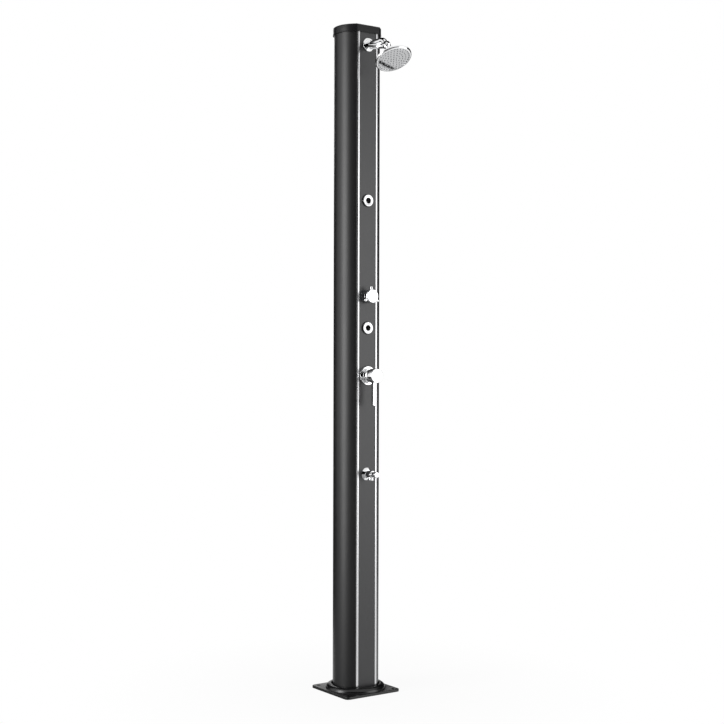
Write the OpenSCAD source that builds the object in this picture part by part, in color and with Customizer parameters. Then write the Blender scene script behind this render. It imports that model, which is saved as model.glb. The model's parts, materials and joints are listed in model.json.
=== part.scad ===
// Outdoor shower post with a water tank, body jets, diverter, single-lever mixer and foot tap.
// Origin at the centre of the base underside, +Z up, flat front panel facing -Y. Millimetres.

/* [Post] */
// Overall height, cap included
post_h = 2170; // [1900:10:2400]
// Radius of the round back
body_r = 75; // [72:0.5:90]
// Wall of the shell
shell_t = 2.5; // [2:0.5:3.5]
// Distance of the panel face from the post axis
flat_offset = 61.5; // [60:0.5:66]
// Width of the front panel
panel_w = 70; // [66:1:74]
// Thickness of the front panel
panel_t = 2.5; // [2:0.5:3]

/* [Bright strips] */
// Visible width of a strip
strip_w = 8; // [7:0.5:9]
// How far a strip stands proud of the panel
strip_proud = 1.4; // [1:0.1:2]
// Thickness of the leg that clips in beside the panel
strip_leg_t = 1.8; // [1.4:0.1:2.2]
// Depth of that leg behind the panel face
strip_leg_d = 6.5; // [5:0.5:8]

/* [Base flange] */
// Side of the square plate
plate_w = 212; // [204:1:240]
// Thickness of the plate at its edge
plate_t = 8; // [6:0.5:12]
// Corner radius of the plate
plate_corner_r = 14; // [8:1:20]
// Diameter of an anchor hole
anchor_d = 11.5; // [9:0.5:13]
// Distance between anchor holes
anchor_spacing = 175; // [170:1:180]
// Height of the collar round the post
collar_h = 23; // [18:1:30]
// Radius of the collar at the plate
collar_r = 98; // [96:1:100]
// Width of the recess between collar and post
recess_w = 4.6; // [3:0.2:6]
// Floor under the post
floor_t = 6; // [5:0.5:8]

/* [Cap] */
// Height of the cap
cap_h = 24; // [18:1:40]
// Wall of the cap
cap_wall = 3.7; // [2.5:0.1:5]
// Thickness of the cap roof
cap_roof_t = 4; // [3:0.5:8]

/* [Fitting heights] */
// Height of the shower arm
arm_z = 2106; // [2095:1:2110]
// Height of the upper jet
upper_jet_z = 1600.5; // [1450:0.5:1750]
// Height of the diverter
diverter_z = 1289.5; // [1270:0.5:1330]
// Height of the lower jet
lower_jet_z = 1187; // [1170:0.5:1200]
// Height of the mixer
mixer_z = 1032; // [1000:1:1050]
// Height of the foot tap
tap_z = 712.5; // [500:0.5:800]

/* [Shower arm] */
// Outside diameter of the arm tube
arm_d = 19.6; // [18:0.2:20]
// Wall of the arm tube
arm_wall = 1.4; // [1:0.1:2]
// Reach from the panel face to the bend
arm_reach = 83.5; // [70:0.5:150]
// Length from the bend to the ball centre
arm_leg = 56.6; // [54:0.2:80]
// How far the leg drops below level
arm_drop_deg = 45; // [35:1:60]
// Radius of the bend at the tube centre
arm_bend_r = 25; // [22:1:30]

/* [Shower head] */
// Diameter of the head
head_d = 120; // [100:1:200]
// Depth from the ball centre to the face
head_depth = 38.3; // [36:0.1:50]
// Tilt of the head from straight down
head_tilt_deg = 29.3; // [25:0.1:35]
// Diameter of the ball
ball_d = 20; // [19:0.5:21]
// Rings of nozzles round the centre one
nozzle_rings = 5; // [3:1:5]
// Radius of a soft nozzle at its root
nozzle_r = 1.7; // [1.2:0.1:2]

/* [Body jets] */
// Diameter of the chrome ring
jet_ring_d = 38.4; // [37:0.2:44]
// How far the ring stands proud
jet_proud = 7; // [5:0.5:9]
// Diameter of the swivelling ball
jet_ball_d = 19; // [17:0.5:20]
// Radius of the jet body through the panel
jet_barrel_r = 15; // [14.5:0.1:16]

/* [Diverter] */
// Diameter of the knob hub
knob_d = 45; // [40:1:54]
// Distance from the panel to the front rim of the hub
knob_reach = 30; // [28:1:36]
// Diameter of a peg
peg_d = 9; // [7:0.5:10]
// Reach of a peg tip from the knob axis
peg_reach = 32; // [28:0.5:40]

/* [Mixer] */
// Diameter of the rosette
mixer_rosette_d = 60; // [58:1:70]
// Diameter of the round handle
handle_d = 46; // [46:0.5:52]
// Distance from the panel to the handle front
handle_reach = 57; // [55:0.5:64]
// Distance from the mixer axis to the lever tip
lever_reach = 97; // [70:1:130]
// Width of the lever across the panel
lever_w = 10; // [8:0.5:12]
// Depth of the lever away from the panel
lever_t = 13; // [10:0.5:13]

/* [Foot tap] */
// Diameter of the rosette
tap_rosette_d = 41; // [38:1:50]
// Diameter of the tap barrel
tap_barrel_d = 24; // [24:0.5:27]
// Distance from the panel to the knob front
tap_reach = 57; // [54:1:64]
// Drop of the outlet below the tap axis
tap_drop = 20; // [18:0.5:28]

/* [Water parts] */
// Outside diameter of the pipes
pipe_d = 12; // [10:0.5:12]
// Wall of the pipes
pipe_wall = 1.5; // [1:0.1:2]
// Bend radius of the pipes
pipe_bend_r = 12; // [10:0.5:12]
// Distance of the pipe runs from the post axis
channel_y = 33; // [32:0.5:34]
// Distance of the tank's flat front from the post axis
tank_flat = 16; // [12:0.5:18]
// Wall of the tank
tank_wall = 3; // [2:0.5:5]
// Height of the inlet
inlet_z = 56; // [54:1:60]

/* [Hidden] */

// Fineness of the drawn curves
$fn = 96;
// Clearance between curved faces of bodies that move past each other
gap = 0.3;
// Clearance between pieces that slide together in one assembly
fit = 0.15;
// Radial clearance of a running fit
run_fit = 0.05;
// Overrun of a cut past the face it opens
over = 1;

// Colours, as the photograph shows them
dark = [0.17, 0.17, 0.18];
black = [0.06, 0.06, 0.065];
bright = [0.88, 0.88, 0.9];
brass = [0.78, 0.62, 0.32];
grey = [0.72, 0.72, 0.73];
tank_grey = [0.2, 0.22, 0.24];
pipe_blue = [0.25, 0.4, 0.7];
pipe_red = [0.7, 0.25, 0.2];

// Levels of the post
shell_top = post_h - cap_roof_t;
shell_in_r = body_r - shell_t;
panel_back = flat_offset - panel_t;

// A tube end or ring
module ring(ro, ri, h) {
    difference() {
        cylinder(r = ro, h = h);
        translate([0, 0, -over]) cylinder(r = ri, h = h + 2 * over);
    }
}

// A solid of revolution round Z from an outline of radius and height
module turned(outline) {
    rotate_extrude() polygon(outline);
}

// Puts its children on the panel: +Z away from the post, +Y up, origin on the panel face
module on_panel(z) {
    translate([0, -flat_offset, z]) rotate([90, 0, 0]) children();
}

// The D outline of the post: a circle with a flat front
module d_outline(r, flat) {
    intersection() {
        circle(r = r);
        translate([-r, -flat]) square([2 * r, r + flat]);
    }
}

// The strips' leg grooves lie between the panel edge and the shell lip
groove_in = panel_w / 2 + fit;
groove_out = groove_in + strip_leg_t + 2 * fit;
rail_w = 6;
rail_in = panel_w / 2 - rail_w;
rail_out = groove_out + shell_t;
rail_d = strip_leg_d + shell_t;

// A block turned round Z with a rounded upper edge
module puck(r, h, edge) {
    rotate_extrude() {
        square([r - edge, h]);
        square([r, h - edge]);
        translate([r - edge, h - edge]) circle(r = edge);
    }
}

// A rectangle with true round corners
module round_rect(w, h, r) {
    square([w - 2 * r, h], center = true);
    square([w, h - 2 * r], center = true);
    for (x = [-1, 1], y = [-1, 1]) translate([x * (w / 2 - r), y * (h / 2 - r)]) circle(r = r);
}

// Direction from one point to another
function unit(v) = v / norm(v);

// A direction that is square to another
function square_to(d) = unit(cross(abs(d[0]) < 0.9 ? [1, 0, 0] : [0, 1, 0], d));

// Puts its children at a point with their X, Y and Z along given directions
module stand(at, x, y, z) {
    multmatrix([
        [x[0], y[0], z[0], at[0]],
        [x[1], y[1], z[1], at[1]],
        [x[2], y[2], z[2], at[2]],
        [0, 0, 0, 1],
    ]) children();
}

// A straight tube between two points
module straight(a, b, ro, ri) {
    d = unit(b - a);
    s = square_to(d);
    stand(a, s, cross(d, s), d) ring(ro, ri, norm(b - a));
}

// How much a bend takes off a straight at corner i of a run
function bend_trim(p, i, r) =
    (i == 0 || i == len(p) - 1) ? 0
    : r * tan(acos(unit(p[i] - p[i - 1]) * unit(p[i + 1] - p[i])) / 2);

// A bent stretch of tube at a corner between directions u and v
module tube_bend(corner, u, v, r, ro, ri) {
    turn = acos(u * v);
    n = unit(v - (v * u) * u);
    centre = corner - u * r * tan(turn / 2) + n * r;
    stand(centre, -n, u, cross(-n, u)) {
        rotate_extrude(angle = turn) translate([r, 0]) difference() {
            circle(r = ro);
            circle(r = ri);
        }
    }
}

// A tube that follows straight lines between points, with a bend at each corner
module tube_run(p, r, ro, ri) {
    for (i = [0 : len(p) - 2]) {
        d = unit(p[i + 1] - p[i]);
        straight(p[i] + d * bend_trim(p, i, r), p[i + 1] - d * bend_trim(p, i + 1, r), ro, ri);
    }
    for (i = [1 : len(p) - 2]) {
        tube_bend(p[i], unit(p[i] - p[i - 1]), unit(p[i + 1] - p[i]), r, ro, ri);
    }
}

// The base flange: a square plate, a collar with a rounded shoulder and a recess for the post
recess_r = body_r + recess_w;
rim_w = 2.8;
plate_edge = 1.6;
floor_hole_r = 28;
foot_screw_at = 38;
foot_screw_r = 2.5;
foot_screw_head_r = 5;
foot_screw_head_h = 2.8;
foot_floor_t = 8;
foot_screw_sink = 0.4;

module rounded_plate(inset, h) {
    linear_extrude(h) round_rect(plate_w - 2 * inset, plate_w - 2 * inset, plate_corner_r - inset);
}

module collar_outline() {
    rim_r = recess_r + rim_w;
    shoulder_r = collar_r - rim_r;
    shoulder_z = collar_h - shoulder_r;
    square([rim_r, collar_h]);
    intersection() {
        translate([rim_r, shoulder_z]) circle(r = shoulder_r);
        square([collar_r, collar_h]);
    }
    square([collar_r, max(shoulder_z, plate_t / 2)]);
}

module base_flange() {
    color(black) difference() {
        union() {
            hull() {
                rounded_plate(0, plate_t - plate_edge, $fn = 48);
                rounded_plate(plate_edge, plate_t, $fn = 48);
            }
            rotate_extrude() collar_outline();
        }
        translate([0, 0, floor_t]) cylinder(r = recess_r, h = collar_h);
        translate([0, 0, -over]) cylinder(r = floor_hole_r, h = floor_t + 2 * over);
        for (x = [-1, 1], y = [-1, 1]) {
            translate([x * anchor_spacing / 2, y * anchor_spacing / 2, -over])
                cylinder(d = anchor_d, h = plate_t + 2 * over);
            translate([x * foot_screw_at, y * foot_screw_at, 0]) {
                translate([0, 0, -over]) cylinder(r = foot_screw_r + fit, h = floor_t + 2 * over);
                translate([0, 0, -over])
                    cylinder(r = foot_screw_head_r + fit, h = foot_screw_sink + over);
                translate([0, 0, foot_screw_sink])
                    cylinder(r1 = foot_screw_head_r + fit, r2 = foot_screw_r + fit, h = foot_screw_head_h);
            }
        }
    }
}

// Screws up through the flange into the foot plug
module base_screws() {
    color(bright) for (x = [-1, 1], y = [-1, 1]) {
        translate([x * foot_screw_at, y * foot_screw_at, foot_screw_sink]) {
            cylinder(r1 = foot_screw_head_r, r2 = foot_screw_r, h = foot_screw_head_h);
            cylinder(r = foot_screw_r, h = floor_t + foot_floor_t - over);
        }
    }
}

// The foot plug: the shell slides over it, the tank stands on its rim and the inlet passes its pad
plug_r = shell_in_r - fit;
plug_flat = flat_offset - rail_d - gap;
plug_wall = 4;
plug_h = 92;
plug_top = floor_t + plug_h;
union_r = 10.4;
pad_y = 60;
pad_w = 34;

module foot_plug() {
    color(tank_grey) difference() {
        translate([0, 0, floor_t]) union() {
            difference() {
                linear_extrude(plug_h) d_outline(plug_r, plug_flat);
                translate([0, 0, foot_floor_t])
                    linear_extrude(plug_h) d_outline(plug_r - plug_wall, plug_flat - plug_wall);
            }
            intersection() {
                linear_extrude(plug_h) d_outline(plug_r, plug_flat);
                translate([-pad_w / 2, pad_y, 0]) cube([pad_w, plug_r, inlet_z - floor_t + pad_w / 2]);
            }
        }
        translate([0, 0, floor_t - over]) cylinder(r = floor_hole_r, h = foot_floor_t + 2 * over);
        translate([0, 0, inlet_z]) rotate([-90, 0, 0]) cylinder(r = union_r + fit, h = body_r);
        for (x = [-1, 1], y = [-1, 1]) {
            translate([x * foot_screw_at, y * foot_screw_at, floor_t - over])
                cylinder(r = foot_screw_r + fit, h = foot_floor_t + 2 * over);
        }
    }
}

// The shell: a round back with lips and grooved rails at the front
module shell_outline() {
    difference() {
        union() {
            difference() {
                d_outline(body_r, flat_offset);
                d_outline(shell_in_r, panel_back);
            }
            intersection() {
                d_outline(body_r, flat_offset);
                for (s = [-1, 1]) translate([s * (rail_in + rail_out) / 2, -flat_offset + rail_d / 2])
                    square([rail_out - rail_in, rail_d], center = true);
            }
        }
        translate([-groove_out, -flat_offset - over]) square([2 * groove_out, panel_t + over]);
        for (s = [-1, 1]) translate([s * (groove_in + groove_out) / 2, -flat_offset + (strip_leg_d + fit) / 2])
            square([groove_out - groove_in, strip_leg_d + fit], center = true);
    }
}

module rear_shell() {
    color(dark) difference() {
        translate([0, 0, floor_t]) linear_extrude(shell_top - floor_t) shell_outline();
        translate([0, 0, inlet_z]) rotate([-90, 0, 0]) cylinder(r = union_r + fit, h = body_r + over);
    }
}

// The front panel with a hole for each fitting
mixer_neck_r = 21;

module front_panel() {
    color(dark) difference() {
        translate([-panel_w / 2, -flat_offset, floor_t]) cube([panel_w, panel_t, shell_top - floor_t]);
        for (z = [arm_z, diverter_z, tap_z]) panel_hole(z, union_r + fit);
        for (z = [upper_jet_z, lower_jet_z]) panel_hole(z, jet_barrel_r + fit);
        panel_hole(mixer_z, mixer_neck_r + fit);
    }
}

module panel_hole(z, r) {
    on_panel(z) translate([0, 0, -panel_t - over]) cylinder(r = r, h = panel_t + 2 * over);
}

// A bright strip: a face with a bevelled outer edge, and a leg that clips in beside the panel
strip_cover = 2.5;
strip_bevel_share = 0.4;
strip_lip_share = 0.3;

module strip_outline() {
    x0 = panel_w / 2 - strip_cover;
    x1 = x0 + strip_w;
    front = -flat_offset - strip_proud;
    translate([groove_in + fit, -flat_offset - strip_proud / 2])
        square([strip_leg_t, strip_leg_d + strip_proud / 2]);
    polygon([
        [x0, -flat_offset],
        [x0 + strip_proud * strip_lip_share, front],
        [x1 - strip_w * strip_bevel_share, front],
        [x1, -flat_offset - strip_proud * strip_lip_share],
        [x1, -flat_offset],
    ]);
}

module trim_strip_right() {
    color(bright) translate([0, 0, floor_t]) linear_extrude(shell_top - floor_t) strip_outline();
}

module trim_strip_left() {
    mirror([1, 0, 0]) trim_strip_right();
}

// The cap: a D-shaped lid with a rounded top edge, a bead at its lower edge and a skirt inside the shell
cap_edge = 3;
cap_bead = 0.8;
cap_bead_h = 3;
cap_corner_r = 7;
cap_front_wall = 2.6;
cap_skirt_h = 14;
cap_skirt_t = 2.5;

module cap_slab(grow, z0, z1) {
    translate([0, 0, z0]) linear_extrude(z1 - z0)
        offset(r = cap_corner_r + grow, $fn = 80) offset(delta = -cap_corner_r)
            d_outline(body_r + cap_wall, flat_offset + strip_proud + cap_front_wall, $fn = 120);
}

module top_cap() {
    cap_low = post_h - cap_h;
    color(black) {
        difference() {
            union() {
                hull() {
                    cap_slab(0, cap_low, post_h - cap_edge);
                    cap_slab(-cap_edge * (1 - cos(30)), cap_low, post_h - cap_edge * (1 - sin(30)));
                    cap_slab(-cap_edge * (1 - cos(60)), cap_low, post_h - cap_edge * (1 - sin(60)));
                    cap_slab(-cap_edge, cap_low, post_h);
                }
                cap_slab(cap_bead, cap_low, cap_low + cap_bead_h);
            }
            translate([0, 0, cap_low - over])
                linear_extrude(shell_top - cap_low + over)
                    d_outline(body_r + gap, flat_offset + strip_proud + gap);
        }
        translate([0, 0, shell_top - cap_skirt_h]) linear_extrude(cap_skirt_h + cap_roof_t / 2) {
            difference() {
                d_outline(shell_in_r - fit, plug_flat);
                d_outline(shell_in_r - cap_skirt_t, plug_flat - cap_skirt_t);
            }
        }
    }
}

// The tank: a D-shaped tube closed by two lids, with a nozzle on each lid
lid_t = 10;
lid_spigot_h = 8;
nozzle_wall = 3;
socket_d = 8;
tank_gap = 1.5;
tank_r = shell_in_r - tank_gap;
tank_top_drop = 66;
tank_low = plug_top + lid_t;
tank_high = arm_z - tank_top_drop;
feed_y = 37;
hot_x = 48;
hot_y = 10;
pipe_r = pipe_d / 2;
pipe_in_r = pipe_r - pipe_wall;
socket_r = pipe_r + fit;
port_r = pipe_r + nozzle_wall;
port_h = 12;

module tank_body() {
    color(tank_grey) translate([0, 0, tank_low]) linear_extrude(tank_high - tank_low) difference() {
        d_outline(tank_r, tank_flat);
        d_outline(tank_r - tank_wall, tank_flat - tank_wall);
    }
}

// A lid seen with its spigot up, and a nozzle under it at a place
module tank_lid(at) {
    difference() {
        union() {
            linear_extrude(lid_t) d_outline(tank_r, tank_flat);
            translate([0, 0, lid_t]) linear_extrude(lid_spigot_h)
                d_outline(tank_r - tank_wall - fit, tank_flat - tank_wall - fit);
            translate([at[0], at[1], -port_h]) cylinder(r = port_r, h = port_h + lid_t / 2);
        }
        translate([at[0], at[1], -port_h - over]) {
            cylinder(r = pipe_in_r, h = port_h + lid_t + lid_spigot_h + 2 * over);
            cylinder(r = socket_r, h = socket_d + over);
        }
    }
}

module tank_bottom_lid() {
    color(black) translate([0, 0, plug_top]) tank_lid([0, feed_y]);
}

module tank_top_lid() {
    color(black) translate([0, 0, tank_high + lid_t]) mirror([0, 0, 1]) tank_lid([hot_x, hot_y]);
}

// The inlet at the lower back, along +Y
washer_r = 16;
washer_t = 2.5;
union_bore_r = 7;
union_flange_r = 15.6;
union_flange_t = 6;
union_out = 14;
nut_r = 13.8;
nut_t = 6;
tee_r = 13;
tee_gap = 1;
union_in = pad_y - nut_t - 10;
tee_front = 26;

module on_back(y, z) {
    translate([0, y, z]) rotate([-90, 0, 0]) children();
}

module inlet_washer() {
    color(black) difference() {
        on_back(body_r - washer_r, inlet_z) ring(washer_r, union_r + fit, washer_r + washer_t);
        cylinder(r = body_r, h = inlet_z + 2 * washer_r);
    }
}

module inlet_union() {
    flange_y = body_r + washer_t;
    color(brass) difference() {
        union() {
            on_back(union_in, inlet_z) cylinder(r = union_r, h = flange_y + union_flange_t + union_out - union_in);
            on_back(flange_y, inlet_z) cylinder(r = union_flange_r, h = union_flange_t, $fn = 6);
        }
        on_back(union_in - over, inlet_z) cylinder(r = union_bore_r, h = 2 * body_r);
    }
}

nipple_web = 3;
nipple_r = 8;
nipple_plain = 12;
nipple_groove_r = 6.3;
nipple_groove_w = 4;
nipple_tip = 6;
nipple_bore_r = 4.5;
nipple_back = body_r + washer_t + union_flange_t;
nipple_end = nipple_back + union_out + nipple_web + nipple_plain + nipple_groove_w + nipple_tip;

module hose_nipple() {
    hex_h = union_out + nipple_web;
    groove_z = hex_h + nipple_plain;
    tip_z = groove_z + nipple_groove_w;
    color(brass) on_back(nipple_back, inlet_z) difference() {
        union() {
            cylinder(r = union_flange_r, h = hex_h, $fn = 6);
            turned([
                [0, hex_h - over], [nipple_r, hex_h - over], [nipple_r, groove_z], [nipple_groove_r, groove_z],
                [nipple_groove_r, tip_z], [nipple_r, tip_z], [nipple_r, tip_z + nipple_tip / 2],
                [nipple_groove_r, tip_z + nipple_tip], [0, tip_z + nipple_tip],
            ]);
        }
        translate([0, 0, -over]) cylinder(r = union_r + fit, h = union_out + over);
        cylinder(r = nipple_bore_r, h = 2 * tip_z);
    }
}

module inlet_tee() {
    tee_back = pad_y - nut_t - tee_gap;
    color(brass) difference() {
        union() {
            on_back(tee_front, inlet_z) cylinder(r = tee_r, h = tee_back - tee_front);
            translate([0, feed_y, inlet_z]) cylinder(r = port_r, h = tee_r + port_h);
        }
        on_back(union_in, inlet_z) cylinder(r = union_r + fit, h = body_r);
        on_back(tee_front - over, inlet_z) {
            cylinder(r = pipe_in_r, h = body_r - tee_front);
            cylinder(r = socket_r, h = socket_d + over);
        }
        translate([0, feed_y, inlet_z]) {
            cylinder(r = pipe_in_r, h = tee_r + port_h + over);
            translate([0, 0, tee_r + port_h - socket_d]) cylinder(r = socket_r, h = socket_d + over);
        }
    }
}

module tank_feed_pipe() {
    low = inlet_z + tee_r + port_h - socket_d;
    high = plug_top - port_h + socket_d;
    color(pipe_blue) translate([0, feed_y, low]) ring(pipe_r, pipe_in_r, high - low);
}

// The pipes in the channel behind the panel. A port's socket floor lies port_in from its fitting's axis
diverter_port = 24;
mixer_port = 34;
elbow_port = 22;
tee_port = 20;
riser_x = 32;
head_x = 36;
cold_x = 44;
jet_port = 21;
loop_x = 24;
loop_h = 60;

function channel(x, z) = [x, -channel_y, z];

module cold_riser_lower() {
    color(pipe_blue) tube_run([
        [0, tee_front + socket_d, inlet_z],
        [0, -channel_y, inlet_z],
        channel(0, tap_z - tee_port + socket_d),
    ], pipe_bend_r, pipe_r, pipe_in_r);
}

module cold_riser_upper() {
    start = tap_z + tee_port - socket_d;
    color(pipe_blue) tube_run([
        channel(0, start),
        channel(0, start + loop_h),
        channel(-cold_x, start + loop_h),
        channel(-cold_x, mixer_z),
        channel(-mixer_port + socket_d, mixer_z),
    ], pipe_bend_r - pipe_r / 2, pipe_r, pipe_in_r);
}

module hot_pipe() {
    start = tank_high + lid_t + port_h - socket_d;
    top = start + loop_h * 2 / 3;
    color(pipe_red) tube_run([
        [hot_x, hot_y, start],
        [hot_x, hot_y, top],
        channel(hot_x, top),
        channel(hot_x, mixer_z),
        channel(mixer_port - socket_d, mixer_z),
    ], pipe_bend_r, pipe_r, pipe_in_r);
}

module mixed_riser() {
    start = mixer_z + mixer_port - socket_d;
    end = diverter_z - diverter_port + socket_d;
    color(pipe_red) tube_run([
        channel(0, start),
        channel(0, start + loop_h / 2),
        channel(-loop_x, start + loop_h / 2),
        channel(-loop_x, end - loop_h / 2),
        channel(0, end - loop_h / 2),
        channel(0, end),
    ], pipe_bend_r - pipe_r / 6, pipe_r, pipe_in_r);
}

module head_riser() {
    end = arm_z - elbow_port + socket_d;
    color(pipe_red) tube_run([
        channel(-diverter_port + socket_d, diverter_z),
        channel(-head_x, diverter_z),
        channel(-head_x, end - loop_h / 2),
        channel(0, end - loop_h / 2),
        channel(0, end),
    ], pipe_bend_r, pipe_r, pipe_in_r);
}

module jet_pipe() {
    start = jet_port - socket_d;
    color(pipe_red) difference() {
        union() {
            tube_run([
                channel(start, lower_jet_z),
                channel(riser_x, lower_jet_z),
                channel(riser_x, upper_jet_z),
                channel(start, upper_jet_z),
            ], pipe_bend_r, pipe_r, pipe_in_r);
            difference() {
                straight(channel(riser_x, diverter_z), channel(diverter_port - socket_d, diverter_z), pipe_r, pipe_in_r);
                translate(channel(riser_x, diverter_z - pipe_d)) cylinder(r = pipe_in_r, h = 2 * pipe_d);
            }
        }
        translate(channel(0, diverter_z)) rotate([0, 90, 0]) cylinder(r = pipe_in_r, h = riser_x);
    }
}

// A port on a fitting: a stub along +Z whose mouth takes a pipe
module port(reach) {
    cylinder(r = port_r, h = reach);
}

module port_bore(reach) {
    cylinder(r = pipe_in_r, h = reach + over);
    translate([0, 0, reach - socket_d]) cylinder(r = socket_r, h = socket_d + over);
}

// The depth of the pipe runs behind the panel face
channel_z = channel_y - flat_offset;

// The arm's elbow behind the panel, its rosette, and the arm
elbow_flange_r = 18;
elbow_flange_t = 4;
elbow_r = 13.5;
elbow_end_t = 7;
arm_thread_in = 18;
rosette_nut_wall = 2;
arm_rosette_r = 22;
arm_rosette_h = 8;
arm_rosette_edge = 2;

module arm_elbow() {
    color(brass) on_panel(arm_z) difference() {
        union() {
            translate([0, 0, -panel_t - elbow_flange_t]) cylinder(r = elbow_flange_r, h = elbow_flange_t);
            translate([0, 0, channel_z - elbow_end_t]) cylinder(r = elbow_r, h = -channel_z + elbow_end_t - panel_t);
            translate([0, 0, channel_z]) rotate([90, 0, 0]) port(elbow_port);
        }
        translate([0, 0, -arm_thread_in]) cylinder(r = union_r + fit, h = arm_thread_in + over);
        translate([0, 0, channel_z]) {
            cylinder(r = pipe_in_r, h = -channel_z);
            rotate([90, 0, 0]) port_bore(elbow_port);
        }
    }
}

// A cup-shaped rosette with a dished front, over a nut or a flange
module rosette(r, h, edge, nut, hole, dish_r, dish_h) {
    difference() {
        puck(r, h, edge);
        translate([0, 0, -over]) cylinder(r = nut, h = h - rosette_nut_wall + over);
        translate([0, 0, -over]) cylinder(r = hole, h = h + 2 * over);
        translate([0, 0, h - dish_h]) cylinder(r1 = hole, r2 = dish_r, h = dish_h + fit);
    }
}

module arm_escutcheon() {
    color(bright) on_panel(arm_z) difference() {
        rosette(arm_rosette_r, arm_rosette_h, arm_rosette_edge, nut_r + gap, arm_d / 2 + fit,
            arm_rosette_r - 2 * arm_rosette_edge, rosette_nut_wall / 2);
    }
}

arm_corner = [0, -flat_offset - arm_reach, arm_z];
arm_dir = [0, -cos(arm_drop_deg), -sin(arm_drop_deg)];
ball = arm_corner + arm_leg * arm_dir;
ball_r = ball_d / 2;
stem_nut_r = 13.5;
stem_nut_h = 14;
stem_back = 36;
stem_cone_h = 5;
stem_floor_t = 2;
stem_neck_r = 4.5;
stem_bore_r = 2.5;
stem_cone_end = 16;
leg_lap = 1;
leg_swell = 0.06;

// The arm is drawn from the centre of its bend: local X up, local Y away from the post
module shower_arm() {
    tube_r = arm_d / 2;
    in_r = tube_r - arm_wall;
    trim = arm_bend_r * tan(arm_drop_deg / 2);
    leg = arm_leg - (stem_back - stem_nut_h + stem_floor_t / 2) - trim;
    color(bright) translate([0, -flat_offset - arm_reach, arm_z])
        stand([0, trim, -arm_bend_r], [0, 0, 1], [0, -1, 0], [1, 0, 0]) {
            translate([arm_bend_r, 0, 0]) rotate([90, 0, 0]) difference() {
                union() {
                    cylinder(r = tube_r, h = arm_reach - trim);
                    translate([0, 0, arm_reach - trim - nut_t]) cylinder(r = union_r, h = arm_thread_in + nut_t);
                }
                translate([0, 0, -over]) cylinder(r = in_r, h = arm_reach + arm_thread_in);
            }
            rotate_extrude(angle = arm_drop_deg) translate([arm_bend_r, 0]) difference() {
                circle(r = tube_r);
                circle(r = in_r);
            }
            rotate([0, 0, arm_drop_deg]) translate([arm_bend_r, -leg_lap, 0]) rotate([-90, 0, 0])
                ring(tube_r + leg_swell, in_r - leg_swell, leg + leg_lap);
        }
}

module at_ball(tilt) {
    translate(ball) rotate([tilt, 0, 0]) children();
}

module ball_stem() {
    color(bright) at_ball(90 + arm_drop_deg) difference() {
        union() {
            translate([0, 0, -stem_back]) cylinder(r = stem_nut_r, h = stem_nut_h, $fn = 6);
            translate([0, 0, stem_nut_h - stem_back])
                cylinder(r1 = arm_d / 2 + stem_floor_t, r2 = stem_neck_r, h = stem_back - stem_nut_h - stem_cone_end);
            translate([0, 0, -stem_cone_end - over]) cylinder(r = stem_neck_r, h = stem_cone_end);
            sphere(r = ball_r);
        }
        translate([0, 0, -stem_back - over])
            cylinder(r = arm_d / 2 + fit, h = stem_nut_h - stem_floor_t / 2 + over);
        translate([0, 0, -stem_back]) cylinder(r = stem_bore_r, h = stem_back + ball_d);
    }
}

// The identical lock nuts: at the arm, the diverter, the tap and the inlet
module lock_nut() {
    difference() {
        cylinder(r = nut_r, h = nut_t, $fn = 6);
        translate([0, 0, -over]) cylinder(r = union_r + fit, h = nut_t + 2 * over);
    }
}

module lock_nuts() {
    color(brass) {
        on_panel(arm_z) lock_nut();
        on_panel(diverter_z) lock_nut();
        on_panel(tap_z) translate([0, 0, -panel_t - nut_t]) lock_nut();
        on_back(pad_y - nut_t, inlet_z) lock_nut();
    }
}

// The ball joint: a seat ring turns with the head about the arm's end, and the head tilts on it
seat_t = 1.4;
seat_cut = 4.2;
seat_hole_r = 5.5;
joint_r = ball_r + gap;
pocket_r = joint_r + seat_t + gap;
mouth_cut = 7;
pocket_cut = 1.8;
nut_wall = 2.2;
nut_front = 9;
nut_grips = 12;
grip_r = 1.2;
head_r = head_d / 2;
head_axis = 180 - head_tilt_deg;

module head_seat() {
    color(grey) at_ball(90 + arm_drop_deg) difference() {
        sphere(r = joint_r + seat_t);
        sphere(r = joint_r);
        translate([0, 0, seat_cut - 2 * ball_d]) cylinder(r = 2 * ball_d, h = 2 * ball_d);
        cylinder(r = seat_hole_r, h = 2 * ball_d);
    }
}

module collar_nut() {
    nut_out_r = pocket_r + nut_wall;
    color(bright) at_ball(head_axis) difference() {
        translate([0, 0, -mouth_cut]) puck(nut_out_r, mouth_cut + nut_front, grip_r);
        sphere(r = joint_r);
        intersection() {
            sphere(r = pocket_r);
            translate([0, 0, -pocket_cut]) cylinder(r = 2 * ball_r, h = 2 * ball_r);
        }
        for (i = [0 : nut_grips - 1]) rotate([0, 0, i * 360 / nut_grips])
            translate([nut_out_r + grip_r / 2, 0, -mouth_cut - over])
                cylinder(r = grip_r, h = mouth_cut + nut_front + 2 * over);
    }
}

// The head shell: a neck that flares into a shallow bell, with a rolled rim round the face
head_wall = 2.5;
head_neck_r = pocket_r + 1;
head_flare_z = nut_front + 3;
head_rim_h = 8;
head_rim_edge = 2.2;
flare_steps = 14;
face_t = 2.2;
face_recess = 0.8;
face_ledge = 2;
pad_t = 1.5;
tip_h = 1.9;
face_r = head_r - head_wall;

function flare(u) = pow(u, 1.6) * (1 - u) + (1 - pow(1 - u, 2)) * u;
function flare_r(u, wall) = head_neck_r + (head_r - head_neck_r) * u - wall * u;
function flare_z(u) = head_flare_z + (head_depth - head_rim_h - head_flare_z) * flare(u);

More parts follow.
